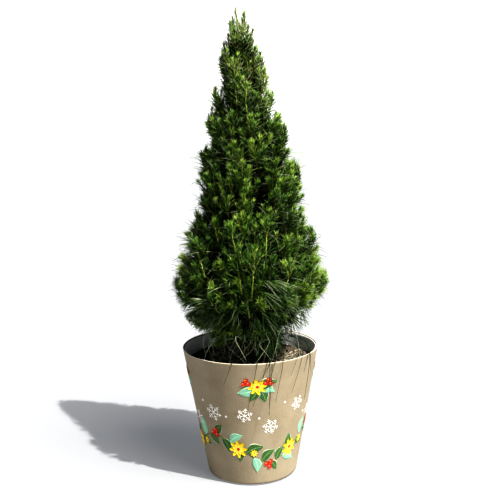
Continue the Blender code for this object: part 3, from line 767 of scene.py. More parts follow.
# Single candles: the height, turn and distance from the trunk's middle of each tip
candles = dict(lean=80, lengths=(0.052, 0.042, 0.034, 0.026), tips=(
    (0.783, 172, 0.034), (0.766, 17, 0.038), (0.737, 340, 0.044), (0.707, 188, 0.057), (0.700, 20, 0.058),
    (0.672, 160, 0.070), (0.643, 350, 0.078), (0.602, 165, 0.093), (0.573, 4, 0.100), (0.486, 192, 0.104),
    (0.455, 350, 0.124), (0.369, 3, 0.142), (0.362, 176, 0.141)))
# The leader's side shoots: height, turn, lean and length
leader = dict(tipLength=0.056, vigour=0.75, shoots=(
    (0.742, 178, 78, 0.058), (0.744, 2, 72, 0.056), (0.744, 96, 76, 0.050), (0.746, 262, 76, 0.052),
    (0.750, 48, 72, 0.050), (0.752, 222, 72, 0.050), (0.758, 130, 80, 0.054), (0.765, 310, 82, 0.048),
    (0.776, 8, 84, 0.050), (0.782, 140, 80, 0.036)))


def trunkAxis(z):
    # the trunk's middle: upright at the foot, leaning with the fourth power of height towards -X
    share = np.maximum((np.asarray(z, float) - trunk["foot"]) / (trunk["tipHeight"] - trunk["foot"]), 0)
    return np.stack([trunk["tipLean"] * share ** trunk["leanPower"], 0 * share, share * 0 + z], -1)


def trunkRadius(z):
    # an even taper, and a flare that fades by the factor e over the flare's height
    taper = between(trunk["radii"], (z - trunk["foot"]) / (trunk["top"] - trunk["foot"]))
    return taper + trunk["flare"] * np.exp(-(z - trunk["foot"]) / trunk["flareHeight"])


def crownRadius(z):
    # straight between the points of the outline
    heights, radii = zip(*crown)
    return np.interp(z, heights, radii)


def tierFloor(tier, r):
    # the underside of a tier: height + rise * r, at distance r from the trunk's middle
    space = tiers[tier] if tier < len(tiers) else leaderSpace
    return space["height"] + space["rise"] * r


def placeAt(z, turn, r):
    # the place at a height, a turn about the trunk's middle and a distance from it
    return trunkAxis(z) + polar(r, turn, 0)


def leanLine(turn, lean):
    # the unit vector that points outwards at a turn, lifted from level by the lean
    return polar(np.cos(lean), turn, np.sin(lean))


def fromAxis(places):
    # the trunk's middle at each place's height, the level vector from there to the place, and its length
    axis = trunkAxis(places[..., 2])
    flat = places - axis
    return axis, flat, np.hypot(flat[..., 0], flat[..., 1])


def inSpace(places, tier, turn, half, margin):
    # true if every place lies in the sector of that tier, clear of its sides and of the trunk
    axis, flat, r = fromAxis(np.array(places))
    height = axis[:, 2]
    off = np.abs((np.arctan2(flat[:, 1], flat[:, 0]) - turn + math.pi) % math.tau - math.pi)
    beside = np.where(off < half, r * np.sin(np.maximum(half - off, 0)), -1)
    steep = math.hypot(1, tierFloor(tier + 1, 1) - tierFloor(tier + 1, 0))
    low, high = (height - tierFloor(tier, r)) / steep, (tierFloor(tier + 1, r) - height) / steep
    clear = np.minimum(np.minimum(beside, low), high) >= margin
    return bool(np.all(clear & (r >= trunkRadius(height) + 2 * margin)))


def shellBand(tier):
    # the lowest and the highest place of the crown's outline that a tier holds
    heights = np.linspace(crown[0][0], crown[-1][0], 400)
    radii = crownRadius(heights)
    inside = heights[(tierFloor(tier, radii) <= heights) & (heights <= tierFloor(tier + 1, radii))]
    return inside[0], inside[-1]


def boughPath(tier, turn):
    # from the trunk's skin outwards between two tiers' floors, arched by arch * sin(pi * share)
    reach = crownRadius(between(shellBand(tier), 0.45)) * bough["share"]
    footHeight = between((tiers[tier]["height"], tiers[tier + 1]["height"]), 0.30)
    rise = between((tiers[tier]["rise"], tiers[tier + 1]["rise"]), 0.5)
    skinRadius = trunkRadius(footHeight - bough["radius"]) + pot["gap"]
    start = skinRadius + bough["collar"]
    share = np.linspace(0, 1, bough["rings"])
    r = between((start, reach), share)
    z = footHeight + rise * (r - start) + bough["arch"] * np.sin(math.pi * share)
    return np.concatenate([placeAt(footHeight, turn, skinRadius)[None], placeAt(z, turn, r)])


def stemPath(tier, turn):
    # from the bough's tip, or the trunk's skin, into the middle of the mass
    endHeight = between(shellBand(tier), 0.60)
    end = placeAt(endHeight, turn, crownRadius(endHeight) * stem["reach"])
    if tier < bough["tiers"]:
        path = boughPath(tier, turn)
        direction = unit(path[-1] - path[-2])
        foot = path[-1] + direction * pot["gap"]
    else:
        footHeight = tiers[tier]["height"] + stem["aboveFloor"]
        foot = placeAt(footHeight, turn, trunkRadius(footHeight) + pot["gap"])
        direction = leanLine(np.float64(turn), 0)
    return [foot, foot + direction * stem["collar"], 0.5 * (foot + end) - upBy(stem["sag"]), end]


def twigRoot(path, base):
    # the place on the outer half of the mass's stem that lies level with the base of a shoot
    middle, end = path[-2:]
    share = (base[2] - middle[2]) / (end[2] - middle[2])
    return between((middle, end), min(max(share, 0.0), stem["rootEnd"]))


def shootsOf(tier, number, turn, half, path):
    # the solids' own draws: one shoot for each cell of the mass's part of the outline, then its candles
    rng = random.Random(shootRule["seed"] + 100 * tier + number)
    facts, found = tiers[tier], []
    for row in range(facts["rows"]):
        for column in range(facts["columns"]):
            for attempt in range(shootRule["tries"]):
                level = (row + rng.uniform(*shootRule["within"])) / facts["rows"]
                sideways = (column + rng.uniform(*shootRule["within"])) / facts["columns"] * 2 - 1
                length = rng.uniform(*shootRule["length"]) * shootRule["shorter"] ** attempt
                z = between(shellBand(tier), level)
                r = crownRadius(z) * rng.uniform(*shootRule["jitter"])
                tip = placeAt(z, turn + half * sideways * shootRule["sector"], r)
                lean = math.radians(between(facts["lean"], level))
                base = tip - leanLine(turn + half * sideways, lean) * length
                if inSpace([base, tip], tier, turn, half, shootRule["margin"]):
                    found.append((twigRoot(path, base), base, tip))
                    break
    for z, candleTurn, r in candles["tips"]:
        tip = placeAt(z, math.radians(candleTurn), r)
        for length in candles["lengths"]:
            base = tip - leanLine(math.radians(candleTurn), math.radians(candles["lean"])) * length
            if inSpace([base, tip], tier, turn, half, 2 * shootRule["margin"]):
                found.append((twigRoot(path, base), base, tip))
                break
    return found


def masses():
    # every mass of needles: its tier, its number, the turn of its middle and half its width
    for tier, facts in enumerate(tiers):
        half = math.pi / facts["masses"]
        for number in range(facts["masses"]):
            yield tier, number, math.radians(facts["turn"]) + 2 * half * number, half


barkLook = dict(plate=0.00085, calm=0.002, trunkSides=72, trunkRings=360, boughSides=20, boughRings=40,
                away=(0.13, 0.97, 0.21), trunkSeed=3, boughSeed=40)


def barkRelief(turn, along, radius, seed):
    # upright plates between cracks: folded waves round the limb, broken up along it
    rng = np.random.default_rng(seed)
    phase = rng.uniform(0, math.tau, 4)
    bend = 0.9 * np.sin(along * 95 + phase[0]) + 0.5 * np.sin(along * 210 + 2 * turn + phase[1])
    breaks = np.abs(np.sin(along * 190 + 1.5 * np.sin(2 * turn) + phase[2])) ** 0.35
    plates = np.abs(np.sin(3.5 * turn + bend)) ** 0.6 * breaks
    fine = 0.3 * np.sin(along * 900 + 5 * turn + phase[3]) * np.sin(13 * turn + along * 300)
    return (plates - 0.6 + 0.35 * fine) * np.minimum(1, radius / 0.006)


def travel(path):
    # the distance along a path at each of its points
    return np.concatenate([[0], np.cumsum(np.linalg.norm(np.diff(path, axis=0), axis=1))])


def limb(path, radii, sides, seed):
    # a tube along a path, with bark relief that fades out at both ends
    run = travel(path)
    relief = barkRelief(np.arange(sides) * math.tau / sides, run[:, None], radii[:, None], seed)
    calm = smooth(run, 0, barkLook["calm"]) * smooth(run[-1] - run, 0, barkLook["calm"])
    radius = radii[:, None] + barkLook["plate"] * 0.5 * relief * calm[:, None]
    return strands(path[None], radius[None], sides, away=barkLook["away"])


def joined(meshes):
    # several meshes as one: their points, and every face array with its points' new numbers
    firsts = np.cumsum([0] + [len(mesh[0]) for mesh in meshes])
    faces = [part + first for mesh, first in zip(meshes, firsts) for part in mesh[1:]]
    return np.concatenate([mesh[0] for mesh in meshes]), faces


def smoothPath(path, rings):
    # the path's points joined by cubic curves that share their slopes, read at even steps
    path = np.asarray(path)
    t = travel(path)
    s = np.linspace(0, t[-1], rings)
    slope = np.gradient(path, t, axis=0)
    i = np.clip(np.searchsorted(t, s, side="right") - 1, 0, len(t) - 2)
    h = (t[i + 1] - t[i])[:, None]
    u = ((s - t[i]) / h[:, 0])[:, None]
    return ((2 * u ** 3 - 3 * u ** 2 + 1) * path[i] + (u ** 3 - 2 * u ** 2 + u) * h * slope[i]
            + (3 * u ** 2 - 2 * u ** 3) * path[i + 1] + (u ** 3 - u ** 2) * h * slope[i + 1])


def makeLimbs():
    # the trunk, and the boughs of the lower tiers
    bark = Finish("pineBark", (0.115, 0.070, 0.042), 0.9)
    plates, grain = bark.noise(85, 4, 0.6, 0.8, bark.stretched((1, 1, 0.35))), bark.noise(600, 4, 0.65)
    colour = bark.over((0.055, 0.032, 0.019), plates, 0.38, 0.66, 1, (0.185, 0.122, 0.078))
    colour = bark.over(colour, grain, 0.55, 0.75, 0.5, (0.26, 0.19, 0.13))
    bark.wear(base_color=colour, roughness=0.80 + 0.15 * grain)
    bark.bump(plates + 0.4 * grain, 0.0006, 0.7)
    z = np.linspace(trunk["foot"], trunk["top"], barkLook["trunkRings"])
    points, *faces = limb(trunkAxis(z), trunkRadius(z), barkLook["trunkSides"], barkLook["trunkSeed"])
    makePiece("barkTrunk", points, faces, bark, "pine_bark", ["trunk"])
    radii = np.linspace(bough["radius"], bough["tipRadius"], barkLook["boughRings"])
    paths = [boughPath(tier, turn) for tier, _, turn, _ in masses() if tier < bough["tiers"]]
    limbs = [limb(smoothPath(path, len(radii)), radii, barkLook["boughSides"], barkLook["boughSeed"] + number)
             for number, path in enumerate(paths)]
    makePiece("barkBoughs", *joined(limbs), bark, "pine_bark", boughNodes)


makeLimbs()
print("trunk and boughs made")


sprayRule = dict(sideShoots=(3, 5), leaderShoots=(1, 3), sideTurn=(20, 42), sideLength=(0.50, 0.90),
                 sideUp=0.35, vigour=(1.25, 1.2, 1.1, 1.02, 0.96, 0.90), heldAt=1.02)
olderRules = dict(
    inner=dict(counts=(30, 60, 50, 46, 44, 34), reach=(0.35, 0.80), length=(0.036, 0.058), lean=(-28, 14),
               turn=0.7, twigShare=0.35),
    low=dict(counts=(16, 30, 0, 0, 0, 0), reach=(0.20, 0.72), length=(0.022, 0.040), lean=(-30, 25), turn=0.5,
             tierLean=30))
# Each kind of twig has its radius at the foot and at the tip, and its sides and rings
twigRules = dict(stem=(0.0018, 0.0012, 8, 10), wood=(0.0015, 0.0012, 6, 7), candle=(0.0012, 0.0007, 5, 6),
                 old=(0.0014, 0.0012, 5, 6), inner=(0.0009, 0.0005, 4, 4))
scaledTwigs = ("candle", "old")
# Shoots that stand out on the side towards -Y: x and z of the foot and of the tip, and their vigour
frontShoots = ((0.000, 0.318, -0.013, 0.437, 1.25), (-0.012, 0.362, -0.026, 0.475, 1.2),
               (0.004, 0.350, 0.012, 0.430, 1.2), (-0.078, 0.385, -0.098, 0.448, 1.15),
               (0.030, 0.420, 0.034, 0.482, 1.1), (-0.046, 0.300, -0.064, 0.356, 1.2),
               (0.060, 0.352, 0.072, 0.408, 1.2), (-0.010, 0.676, -0.013, 0.752, 0.85),
               (0.008, 0.640, 0.004, 0.720, 0.9))
# Fans of long old needles on the side towards -Y: x and z of the root, and the way they point in x and z
fans = ((0.030, 0.375, 0.86, -0.30), (0.052, 0.350, 0.90, -0.38), (0.070, 0.332, 0.80, -0.52),
        (0.040, 0.330, 0.66, -0.62), (0.012, 0.322, 0.30, -0.86), (-0.020, 0.318, -0.30, -0.88),
        (-0.050, 0.330, -0.70, -0.60), (0.030, 0.300, 0.35, -0.90), (0.000, 0.292, 0.10, -0.98),
        (0.052, 0.296, 0.50, -0.80), (-0.072, 0.345, -0.90, -0.20), (0.018, 0.275, 0.20, -0.95),
        (-0.090, 0.318, -0.93, -0.36), (-0.078, 0.300, -0.90, -0.42), (-0.098, 0.336, -0.92, -0.38),
        (0.086, 0.318, 0.90, -0.42))
# The crown's waists: height, and the shares by which its side towards -X and its side towards +X are drawn in
waists = ((0.283, 0, 0.36), (0.298, 0, 0.20), (0.316, 0.16, 0.02), (0.330, 0.05, 0), (0.404, 0.06, 0),
          (0.448, 0.03, 0), (0.463, 0.14, 0.10), (0.477, 0.17, 0.03), (0.500, 0.05, 0), (0.519, 0.17, 0),
          (0.530, 0.20, 0), (0.549, 0.06, 0), (0.571, 0.18, 0), (0.590, 0.06, 0.03), (0.607, 0.26, 0.05),
          (0.620, 0.14, 0.04), (0.640, 0.04, 0), (0.660, 0.04, 0), (0.677, 0.18, 0), (0.700, 0.05, 0),
          (0.714, 0.30, 0), (0.722, 0.42, 0), (0.745, 0.10, 0), (0.775, 0.12, 0.02), (0.792, 0.32, 0.06),
          (0.806, 0.36, 0.12), (0.822, 0.24, 0.26), (0.832, 0.10, 0.10))


class Sprays:
    # rows of start, middle and end points, with each spray's kind, vigour and shade
    def __init__(self):
        self.rows = []

    def add(self, start, end, kind, vigour=1.0, shade=0.5, middle=None):
        self.rows.append((start, 0.5 * (start + end) if middle is None else middle, end, kind, vigour, shade))

    def arrays(self, kind):
        rows = [row for row in self.rows if row[3] == kind]
        points = [drawnIn(np.array([row[i] for row in rows])) for i in range(3)]
        return points, np.array([row[4] for row in rows]), np.array([row[5] for row in rows])


def heldIn(place):
    # draws a place in towards the trunk where it would reach past the crown's outline
    axis, flat, r = fromAxis(place)
    return axis + flat * min(1, crownRadius(place[2]) * sprayRule["heldAt"] / r)


def drawnIn(places):
    # draws places towards the trunk at the crown's waists: a share of their distance, by height, for the side
    # towards -X and the side towards +X; it fades out near the trunk
    _, flat, r = fromAxis(places)
    heights, left, right = np.array(waists).T
    cosine = flat[:, 0] / np.maximum(r, 1e-6)
    share = np.interp(places[:, 2], heights, left) * smooth(-cosine, 0.1, 0.85)
    share = share + np.interp(places[:, 2], heights, right) * smooth(cosine, 0.1, 0.85)
    return places - flat * (share * smooth(r / crownRadius(places[:, 2]), 0.30, 1.0))[:, None]


def skinPlace(x, z, share):
    # the place at x and z on the side towards -Y, at a share of the crown's radius
    r = crownRadius(z) * share
    return trunkAxis(z) + np.array([x, -math.sqrt(max(r * r - x * x, 0.0)), 0.0])


def growShoot(sprays, rng, root, base, tip, vigour, sides=sprayRule["sideShoots"]):
    # one candle with its twig, and a whorl of side candles that leave its base and turn upwards
    length = np.linalg.norm(tip - base)
    along = unit(tip - base)
    sprays.add(root, base, "wood", vigour, rng.uniform(0, 1), 0.45 * root + 0.55 * base - upBy(0.004))
    shade = rng.uniform(0.15, 1.0)
    sprays.add(base, tip, "candle", vigour, shade)
    side, other = squareTo(along)
    count = rng.randint(*sides)
    first = rng.uniform(0, math.tau)
    for number in range(count):
        turn = first + number * math.tau / count + rng.uniform(-0.4, 0.4)
        spread = math.radians(rng.uniform(*sprayRule["sideTurn"]))
        reach = length * rng.uniform(*sprayRule["sideLength"])
        out = facing(along, facing(side, other, turn), spread)
        start = base + along * length * rng.uniform(0.0, 0.30)
        middle = start + reach * 0.45 * out
        end = heldIn(middle + reach * 0.55 * unit(out + upBy(sprayRule["sideUp"])))
        thinner, darker = rng.uniform(0.8, 1.0), rng.uniform(0.5, 1.15)
        sprays.add(start, end, "candle", vigour * thinner, shade * darker, middle)


def growFront(sprays):
    # long two-year shoots on the crown's skin, each with a whorl of candles a little past its middle
    for number, (xLow, zLow, xHigh, zHigh, vigour) in enumerate(frontShoots):
        foot, tip = skinPlace(xLow, zLow, 0.92), skinPlace(xHigh, zHigh, 1.02)
        whorl = between((foot, tip), 0.55)
        inside, bow, proud = np.array([(0, 0.03, -0.02), (0, 0.01, 0), (0, -0.002, 0)])
        sprays.add(foot + inside, foot, "wood", vigour, 0.9, foot + bow)
        sprays.add(foot, whorl, "old", vigour, 0.9, 0.5 * (foot + whorl) + proud)
        growShoot(sprays, random.Random(700 + number), foot, whorl, tip, vigour)


def growOlder(sprays, rng, kind, tier, turn, half, path):
    # older sprays: inner ones that end at their place between the mass's stem and its shoots, and low
    # ones with long drooping needles that start there; both take mostly dark tints, partly the green of old
    # needles and partly painted shade inside and under the crown
    rule = olderRules[kind]
    for _ in range(rule["counts"][tier]):
        level, sideways = rng.uniform(0, 1), rng.uniform(-1, 1)
        z = between(shellBand(tier), level)
        place = placeAt(z, turn + half * sideways, crownRadius(z) * rng.uniform(*rule["reach"]))
        tierLean = between(tiers[tier]["lean"], level) if kind == "inner" else rule["tierLean"] * tier
        lean = tierLean + rng.uniform(*rule["lean"])
        facing = turn + half * sideways + rng.uniform(-rule["turn"], rule["turn"])
        way = leanLine(facing, math.radians(lean)) * rng.uniform(*rule["length"])
        start, end = (place - way, place) if kind == "inner" else (place, place + way)
        sprays.add(start, end, kind, 1.0, rng.uniform(0, 1))
        if kind == "inner" and rng.random() < rule["twigShare"]:
            root = twigRoot(path, start)
            sprays.add(root, start, "wood", 1.0, 0.2, 0.5 * (root + start) - upBy(0.003))


def growFans(sprays):
    # three short old twigs for each fan, near the skin, whose needles all sweep one way
    for number, (x, z, xWay, zWay) in enumerate(fans):
        rng = random.Random(800 + number)
        for _ in range(3):
            start = skinPlace(x + rng.uniform(-0.014, 0.014), z + rng.uniform(-0.012, 0.012), 0.90)
            way = [xWay + rng.uniform(-0.2, 0.2), rng.uniform(-0.25, 0.05), zWay + rng.uniform(-0.2, 0.2)]
            end = start + unit(np.array(way)) * rng.uniform(0.012, 0.020)
            sprays.add(start, end, "fan", rng.uniform(0.8, 1.0), rng.uniform(0.3, 1.0))


def growLeader(sprays, rng):
    # the trunk's last shoot, and the shoots that stand round it
    foot, tip = trunkAxis(trunk["top"] + pot["gap"]), trunkAxis(trunk["tipHeight"])
    base = trunkAxis(trunk["tipHeight"] - leader["tipLength"] + 0.010)
    sprays.add(foot, base, "wood", 1.0, 0.6)
    sprays.add(base, tip, "candle", leader["vigour"], 1.0)
    for height, turn, lean, length in leader["shoots"]:
        along = leanLine(math.radians(turn), math.radians(lean))
        root = trunkAxis(height)
        start = root + leanLine(math.radians(turn), 0.0) * 0.006 + along * 0.010
        sides = sprayRule["leaderShoots"]
        growShoot(sprays, rng, root, start, start + along * length, leader["vigour"], sides)


def growTree():
    # every spray of the tree: mass by mass, then the leader, the front shoots and the fans
    sprays = Sprays()
    for tier, number, turn, half in masses():
        rng = random.Random(900 + 10 * tier + number)
        path = stemPath(tier, turn)
        sprays.add(path[0], path[3], "stem", 1.0, 0.1, path[2])
        for root, base, tip in shootsOf(tier, number, turn, half, path):
            growShoot(sprays, rng, root, base, tip, sprayRule["vigour"][tier])
        for kind in olderRules:
            growOlder(sprays, rng, kind, tier, turn, half, path)
    growLeader(sprays, random.Random(990))
    growFront(sprays)
    growFans(sprays)
    return sprays


def twigMesh(sprays, kind):
    # all the twigs of one kind
    points, vigour, _ = sprays.arrays(kind)
    low, high, sides, rings = twigRules[kind]
    scale = vigour if kind in scaledTwigs else np.ones(len(vigour))
    return tubes(points, low * scale, high * scale, sides, rings)


def makeTwigs(sprays):
    # three pieces: the woody twigs, the young green ones and the thin ones inside
    wood = Finish("twigWood", (0.105, 0.060, 0.030), 0.85)
    young = Finish("youngStem", (0.31, 0.34, 0.078), 0.50)
    for name, kinds, finish, slotName in (("olderTwigs", ("stem", "wood"), wood, "pine_bark"),
                                          ("youngTwigs", ("candle", "old"), young, "pine_needles"),
                                          ("innerTwigs", ("inner",), wood, "pine_bark")):
        points, faces = joined([twigMesh(sprays, kind) for kind in kinds])
        makePiece(name, points, faces, finish, slotName, massNodes)


# Needles of each kind stand on the sprays of one kind. Angles are in degrees. A needle's glow is its spray's
# shade, a little chance and the square of its place on the spray, in the shares given, less the last number;
# the tint is the last one whose level the glow passes.
needleRule = dict(low=0.0, crowd=1.0, rings=1, sag=0.0, bend=0.0, shortest=0.70, above=0.0, thinned=1.0,
                  glow=(0.0, 1.0, 0.0, 0.0))
needleRules = dict(
    candle=dict(perMetre=950, low=0.02, crowd=0.80, spread=(48, 30), long=(0.0178, 0.0130), width=0.00130,
                proud=0.009, thinned=0.66, glow=(0.52, 0.62, 0.44, 0.2852),
                levels=((0.36, "mid"), (0.60, "bright"), (0.84, "tip"))),
    star=dict(on="candle", perMetre=230, low=0.94, spread=(74, 16), long=(0.0150, 0.0120), width=0.00130,
              proud=0.009, glow=(0.55, 0.45, 0, 0), levels=((0.18, "mid"), (0.36, "bright"), (0.66, "tip"))),
    wood=dict(perMetre=320, low=0.15, spread=(64, 40), long=(0.032, 0.027), width=0.00090, rings=2, sag=0.12,
              bend=0.15, proud=0.014, glow=(0.6, 0.4, 0.0, 0.0),
              levels=((-1, "shadow"), (0.25, "deep"), (0.60, "mid"), (0.86, "bright"))),
    wisp=dict(on="candle", perMetre=50, crowd=1.2, spread=(72, 50), long=(0.034, 0.030), width=0.00082,
              rings=5, sag=0.35, bend=0.75, shortest=0.30, proud=0.010,
              levels=((0.22, "mid"), (0.42, "pale"), (0.96, "silver"))),
    tuft=dict(on="candle", perMetre=190, low=0.05, spread=(80, 48), long=(0.031, 0.026), width=0.00092,
              rings=2, sag=0.12, bend=0.40, proud=0.021, above=0.56,
              levels=((0.0, "mid"), (0.22, "bright"), (0.45, "tip"), (0.66, "pale"), (0.94, "dry"))),
    old=dict(perMetre=1100, spread=(62, 48), long=(0.024, 0.018), width=0.00115, rings=2, sag=0.03,
             proud=0.010, levels=((0.35, "mid"), (0.80, "bright"))),
    inner=dict(perMetre=580, spread=(66, 34), long=(0.024, 0.019), width=0.00115, proud=0.002,
               glow=(0.6, 0.4, 0.0, 0.0), levels=((-1, "shadow"), (0.55, "deep"), (0.78, "mid"))),
    low=dict(perMetre=560, spread=(60, 26), long=(0.060, 0.052), width=0.00105, rings=5, sag=0.45, bend=0.38,
             proud=0.006,
             levels=((-1, "shadow"), (0.46, "deep"), (0.70, "mid"), (0.82, "pale"), (0.92, "silver"))),
    fan=dict(perMetre=2300, spread=(34, 10), long=(0.066, 0.056), width=0.00105, rings=5, sag=0.22, bend=0.08,
             proud=0.010, levels=((0.15, "mid"), (0.62, "bright"), (0.80, "pale"), (0.94, "silver"))),
)
needleField = dict(golden=math.pi * (3 - math.sqrt(5)), seed=17, largestPiece=190000, aboveTip=0.006,
                   lowest=0.2165, lowestFront=0.038)
# shadow is painted shade for needles inside and under the crown; deep is the dark green of old needles and
# partly painted shade there too; mid, bright and tip are the greens of older and new growth; pale and silver
# are painted highlights for the sun's glints on needles and for light needles seen in shade; dry is the brown
# of dead needles
tints = dict(
    shadow=(0.006, 0.013, 0.007), deep=(0.019, 0.041, 0.015), mid=(0.054, 0.112, 0.026),
    bright=(0.135, 0.240, 0.042), tip=(0.300, 0.400, 0.085), pale=(0.270, 0.320, 0.200),
    silver=(0.500, 0.540, 0.390), dry=(0.230, 0.160, 0.085))
gloss = dict(shadow=0.03, deep=0.10, mid=0.22, bright=0.45, tip=0.50, pale=0.50, silver=0.50, dry=0.20)


def needleRoots(rule, sprays, rng):
    # a needle at each step along a spray, turned by the golden angle, that leans off less towards the tip
    points, vigour, shade = sprays.arrays(rule["on"])
    length = np.linalg.norm(points[2] - points[0], axis=1)
    count = np.maximum((length * rule["perMetre"]).astype(int), 4)
    owner = np.repeat(np.arange(len(length)), count)
    order = np.arange(len(owner)) - np.repeat(np.cumsum(count) - count, count)
    s = np.clip((order + 0.5) / count[owner] + rng.normal(0, 0.004, len(owner)), 0.002, 0.998)
    s = rule["low"] + (1 - rule["low"]) * s ** rule["crowd"]
    root, along = curve(*(part[owner] for part in points), s[:, None])
    side, other = squareTo(along)
    turn = order * needleField["golden"] + rng.normal(0, 0.16, len(owner))
    wide = 0.80 + 0.20 * smooth(vigour[owner], 0.75, 1.15)
    spread = np.radians(between(rule["spread"], s) * wide + rng.normal(0, 6, len(owner)))[:, None]
    direction = facing(along, facing(side, other, turn[:, None]), spread)
    reach = between(rule["long"], s) * vigour[owner] * rng.uniform(rule["shortest"], 1.15, len(owner))
    held = reachHeld(root, direction, reach, rule)
    keep = (held > 0.45 * reach) & (root[:, 2] > rule["above"])
    keep &= (root[:, 2] < rule["thinned"]) | (order % 4 > 0)
    return [part[keep] for part in (root, direction, held, s, shade[owner])]


def reachHeld(root, direction, reach, rule):
    # shortens each needle so that its point stands within the kind's allowance of the crown's outline, and
    # neither above the tree's tip nor below the crown's lowest needles
    def outside(places):
        return fromAxis(places)[2] - crownRadius(places[:, 2]) - rule["proud"]
    tip = root + direction * reach[:, None] - upBy(rule["sag"]) * reach[:, None]
    over, under = outside(tip), outside(root)
    share = np.where(over > 0, -under / np.maximum(over - under, 1e-6), 1.0)
    share = np.where(under > 0, 0.0, share)
    rise, fall = direction[:, 2] * reach, (rule["sag"] - direction[:, 2]) * reach
    top = trunk["tipHeight"] + needleField["aboveTip"]
    ceiling = np.where(rise > 0, np.clip((top - root[:, 2]) / np.maximum(rise, 1e-6), 0, 1), 1)
    front = smooth(-tip[:, 0] - 0.3 * tip[:, 1], -0.004, 0.030)
    lowest = needleField["lowest"] + needleField["lowestFront"] * front
    floorGap = np.clip((root[:, 2] - lowest) / np.maximum(fall, 1e-6), 0, 1)
    return reach * np.minimum(np.minimum(np.clip(share, 0, 1), ceiling), floorGap)


def needleMesh(root, direction, reach, rule, rng):
    # three-sided needles: rings of three points along a line that sags and bends to one side; the sag, the
    # bend and the loss of radius grow with the square of the run
    count, rings = len(root), rule["rings"] + 1
    side, other = squareTo(direction)
    twist = rng.uniform(0, math.tau, (count, 1)) + np.arange(3) * math.tau / 3
    ringWay = facing(side[:, None], other[:, None], twist[..., None])
    s = np.arange(rings) / (rings - 1)
    line = root[:, None] + direction[:, None] * (reach[:, None] * s)[..., None]
    line[..., 2] -= rule["sag"] * rng.uniform(0.3, 1.0, count)[:, None] * reach[:, None] * s ** 2
    bend = rule["bend"] * rng.uniform(-1, 1, count) * reach
    line += (unit(side + rng.normal(0, 0.6, (count, 3))) * bend[:, None])[:, None] * (s ** 2)[:, None]
    radius = 0.5 * rule["width"] * (1 - 0.68 * s ** 2)
    points = line[:, :, None] + radius[None, :, None, None] * ringWay[:, None]
    return points.reshape(-1, 3), tubeFaces(count, rings, 3)


def dealTints(kind, rule, height, s, shade, rng):
    # a tint for each needle, by its glow; some turn dry or pale, and more do towards the tree's top
    chance = rng.uniform(0, 1, len(s))
    shadeShare, chanceShare, runShare, less = rule["glow"]
    glow = shadeShare * shade + chanceShare * chance + runShare * s ** 2 - less
    # inner needles above 0.46 m take lighter tints, fully so above 0.60 m: painted light that lifts the shade
    # inside the crown's upper part
    if kind == "inner":
        glow += 0.22 * smooth(height, 0.46, 0.60)
    dealt = np.full(len(s), "deep", dtype="<U8")
    for level, name in rule["levels"]:
        dealt[glow > level] = name
    if kind == "candle":
        dealt[(chance < 0.05) & (s < 0.5) & (shade > 0.30) & (shade < 0.40)] = "dry"
        # towards the tree's top more candle needles turn pale, tip-green or dry: the pale ones are painted
        # highlights, and the tip and dry ones give the top its straw colour
        topDraw = rng.uniform(0, 1, len(s)) / np.maximum(smooth(height, 0.64, 0.78), 0.001)
        for level, name in ((0.62, "pale"), (0.42, "tip"), (0.16, "dry")):
            dealt[topDraw < level] = name
    if kind == "wood":
        dealt[(chance > 0.45) & (chance < 0.48)] = "pale"
    if kind in ("wood", "inner"):
        dealt[(shade > 0.985) & (chance > 0.5)] = "dry"
    return dealt


def tintFinish(name):
    # one plain green for each tint; the darker ones shine less
    return Finish("needles" + name.title(), tints[name], 0.34, specular_ior_level=gloss[name])


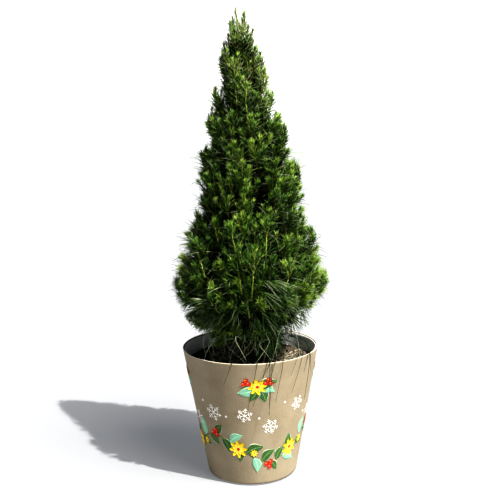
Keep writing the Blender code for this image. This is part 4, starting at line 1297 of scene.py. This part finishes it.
def makeNeedles(sprays):
    # one piece for each kind and tint, split where it would be too large
    rng = np.random.default_rng(needleField["seed"])
    finishes = {name: tintFinish(name) for name in tints}
    for kind, values in needleRules.items():
        rule = {**needleRule, "on": kind, **values}
        root, direction, reach, s, shade = needleRoots(rule, sprays, rng)
        dealt = dealTints(kind, rule, root[:, 2], s, shade, rng)
        perNeedle = 2 + 6 * rule["rings"]
        for name in tints:
            chosen = np.flatnonzero(dealt == name)
            parts = math.ceil(len(chosen) * perNeedle / needleField["largestPiece"])
            for part in range(parts):
                pick = chosen[part::parts]
                points, faces = needleMesh(root[pick], direction[pick], reach[pick], rule, rng)
                pieceName = kind + "Needles" + name.title() + ("" if parts == 1 else str(part + 1))
                makePiece(pieceName, points, faces, finishes[name], "pine_needles", massNodes)
            print(kind, name, len(chosen), "needles,", len(chosen) * perNeedle, "triangles")


# Single long old needles at the foot of the crown, in whole arrays: the curls hang to the mix and the others
# come over the rim and hang beside the card. Each dictionary gives the spread of every value.
looseNeedles = dict(
    # the curls take the silver and pale tints, painted highlights that make them show as light lines in the
    # shade under the crown
    curled=dict(tints=(("silver", 20), ("pale", 20)), turn=(-136, -42), away=(0.070, 0.100),
                height=(0.262, 0.360), drop=(0.030, 0.085), hook=(-0.60, 0.50), sway=(0.04, 0.15),
                pace=(0.5, 1.1), out=(0.004, 0.020), lift=(0.0, 0.026), clear=0.0012, radius=0.00050),
    overRim=dict(tints=(("deep", 13),), turn=(-106, -30), away=(0.080, 0.090), height=(0.264, 0.270),
                 drop=(0.052, 0.118), hook=(-0.34, 0.05), reach=(0.1278, 0.1310), radius=0.00052))


def makeLooseNeedles():
    # lines of turn, distance and height over the run s, made into thin strands
    rng = np.random.default_rng(71)
    s = np.linspace(0, 1, 18)
    for name, rules in looseNeedles.items():
        for tint, count in rules["tints"]:
            draw = lambda key: rng.uniform(*rules[key], (count, 1))
            turn = np.radians(draw("turn")) + draw("hook") * s ** 2
            r, z = draw("away"), draw("height")
            if name == "curled":  # out and round in a loose curl, with a rise before the fall
                turn = turn + draw("sway") * np.sin(math.tau * s * draw("pace") + draw("turn"))
                r = r + draw("out") * np.sin(2.2 * s)
                z = z - draw("drop") * s ** 1.6 + draw("lift") * np.sin(math.pi * s)
                level = mixLevel(r * np.cos(turn), r * np.sin(turn))
                z = np.maximum(z, level + rules["clear"])
            else:  # level at first, then over the rim and down
                r = r + (draw("reach") - r) * (1 - (1 - s) ** 4)
                z = z - draw("drop") * s ** 2
            points, *faces = strands(polar(r, turn, z), rules["radius"] * (1 - 0.6 * s ** 2), 4)
            pieceName = name + "Needles" + tint.title()
            makePiece(pieceName, points, faces, tintFinish(tint), "pine_needles", massNodes)


sprays = growTree()
makeTwigs(sprays)
print("twigs made")
makeNeedles(sprays)
makeLooseNeedles()
print("needles made")
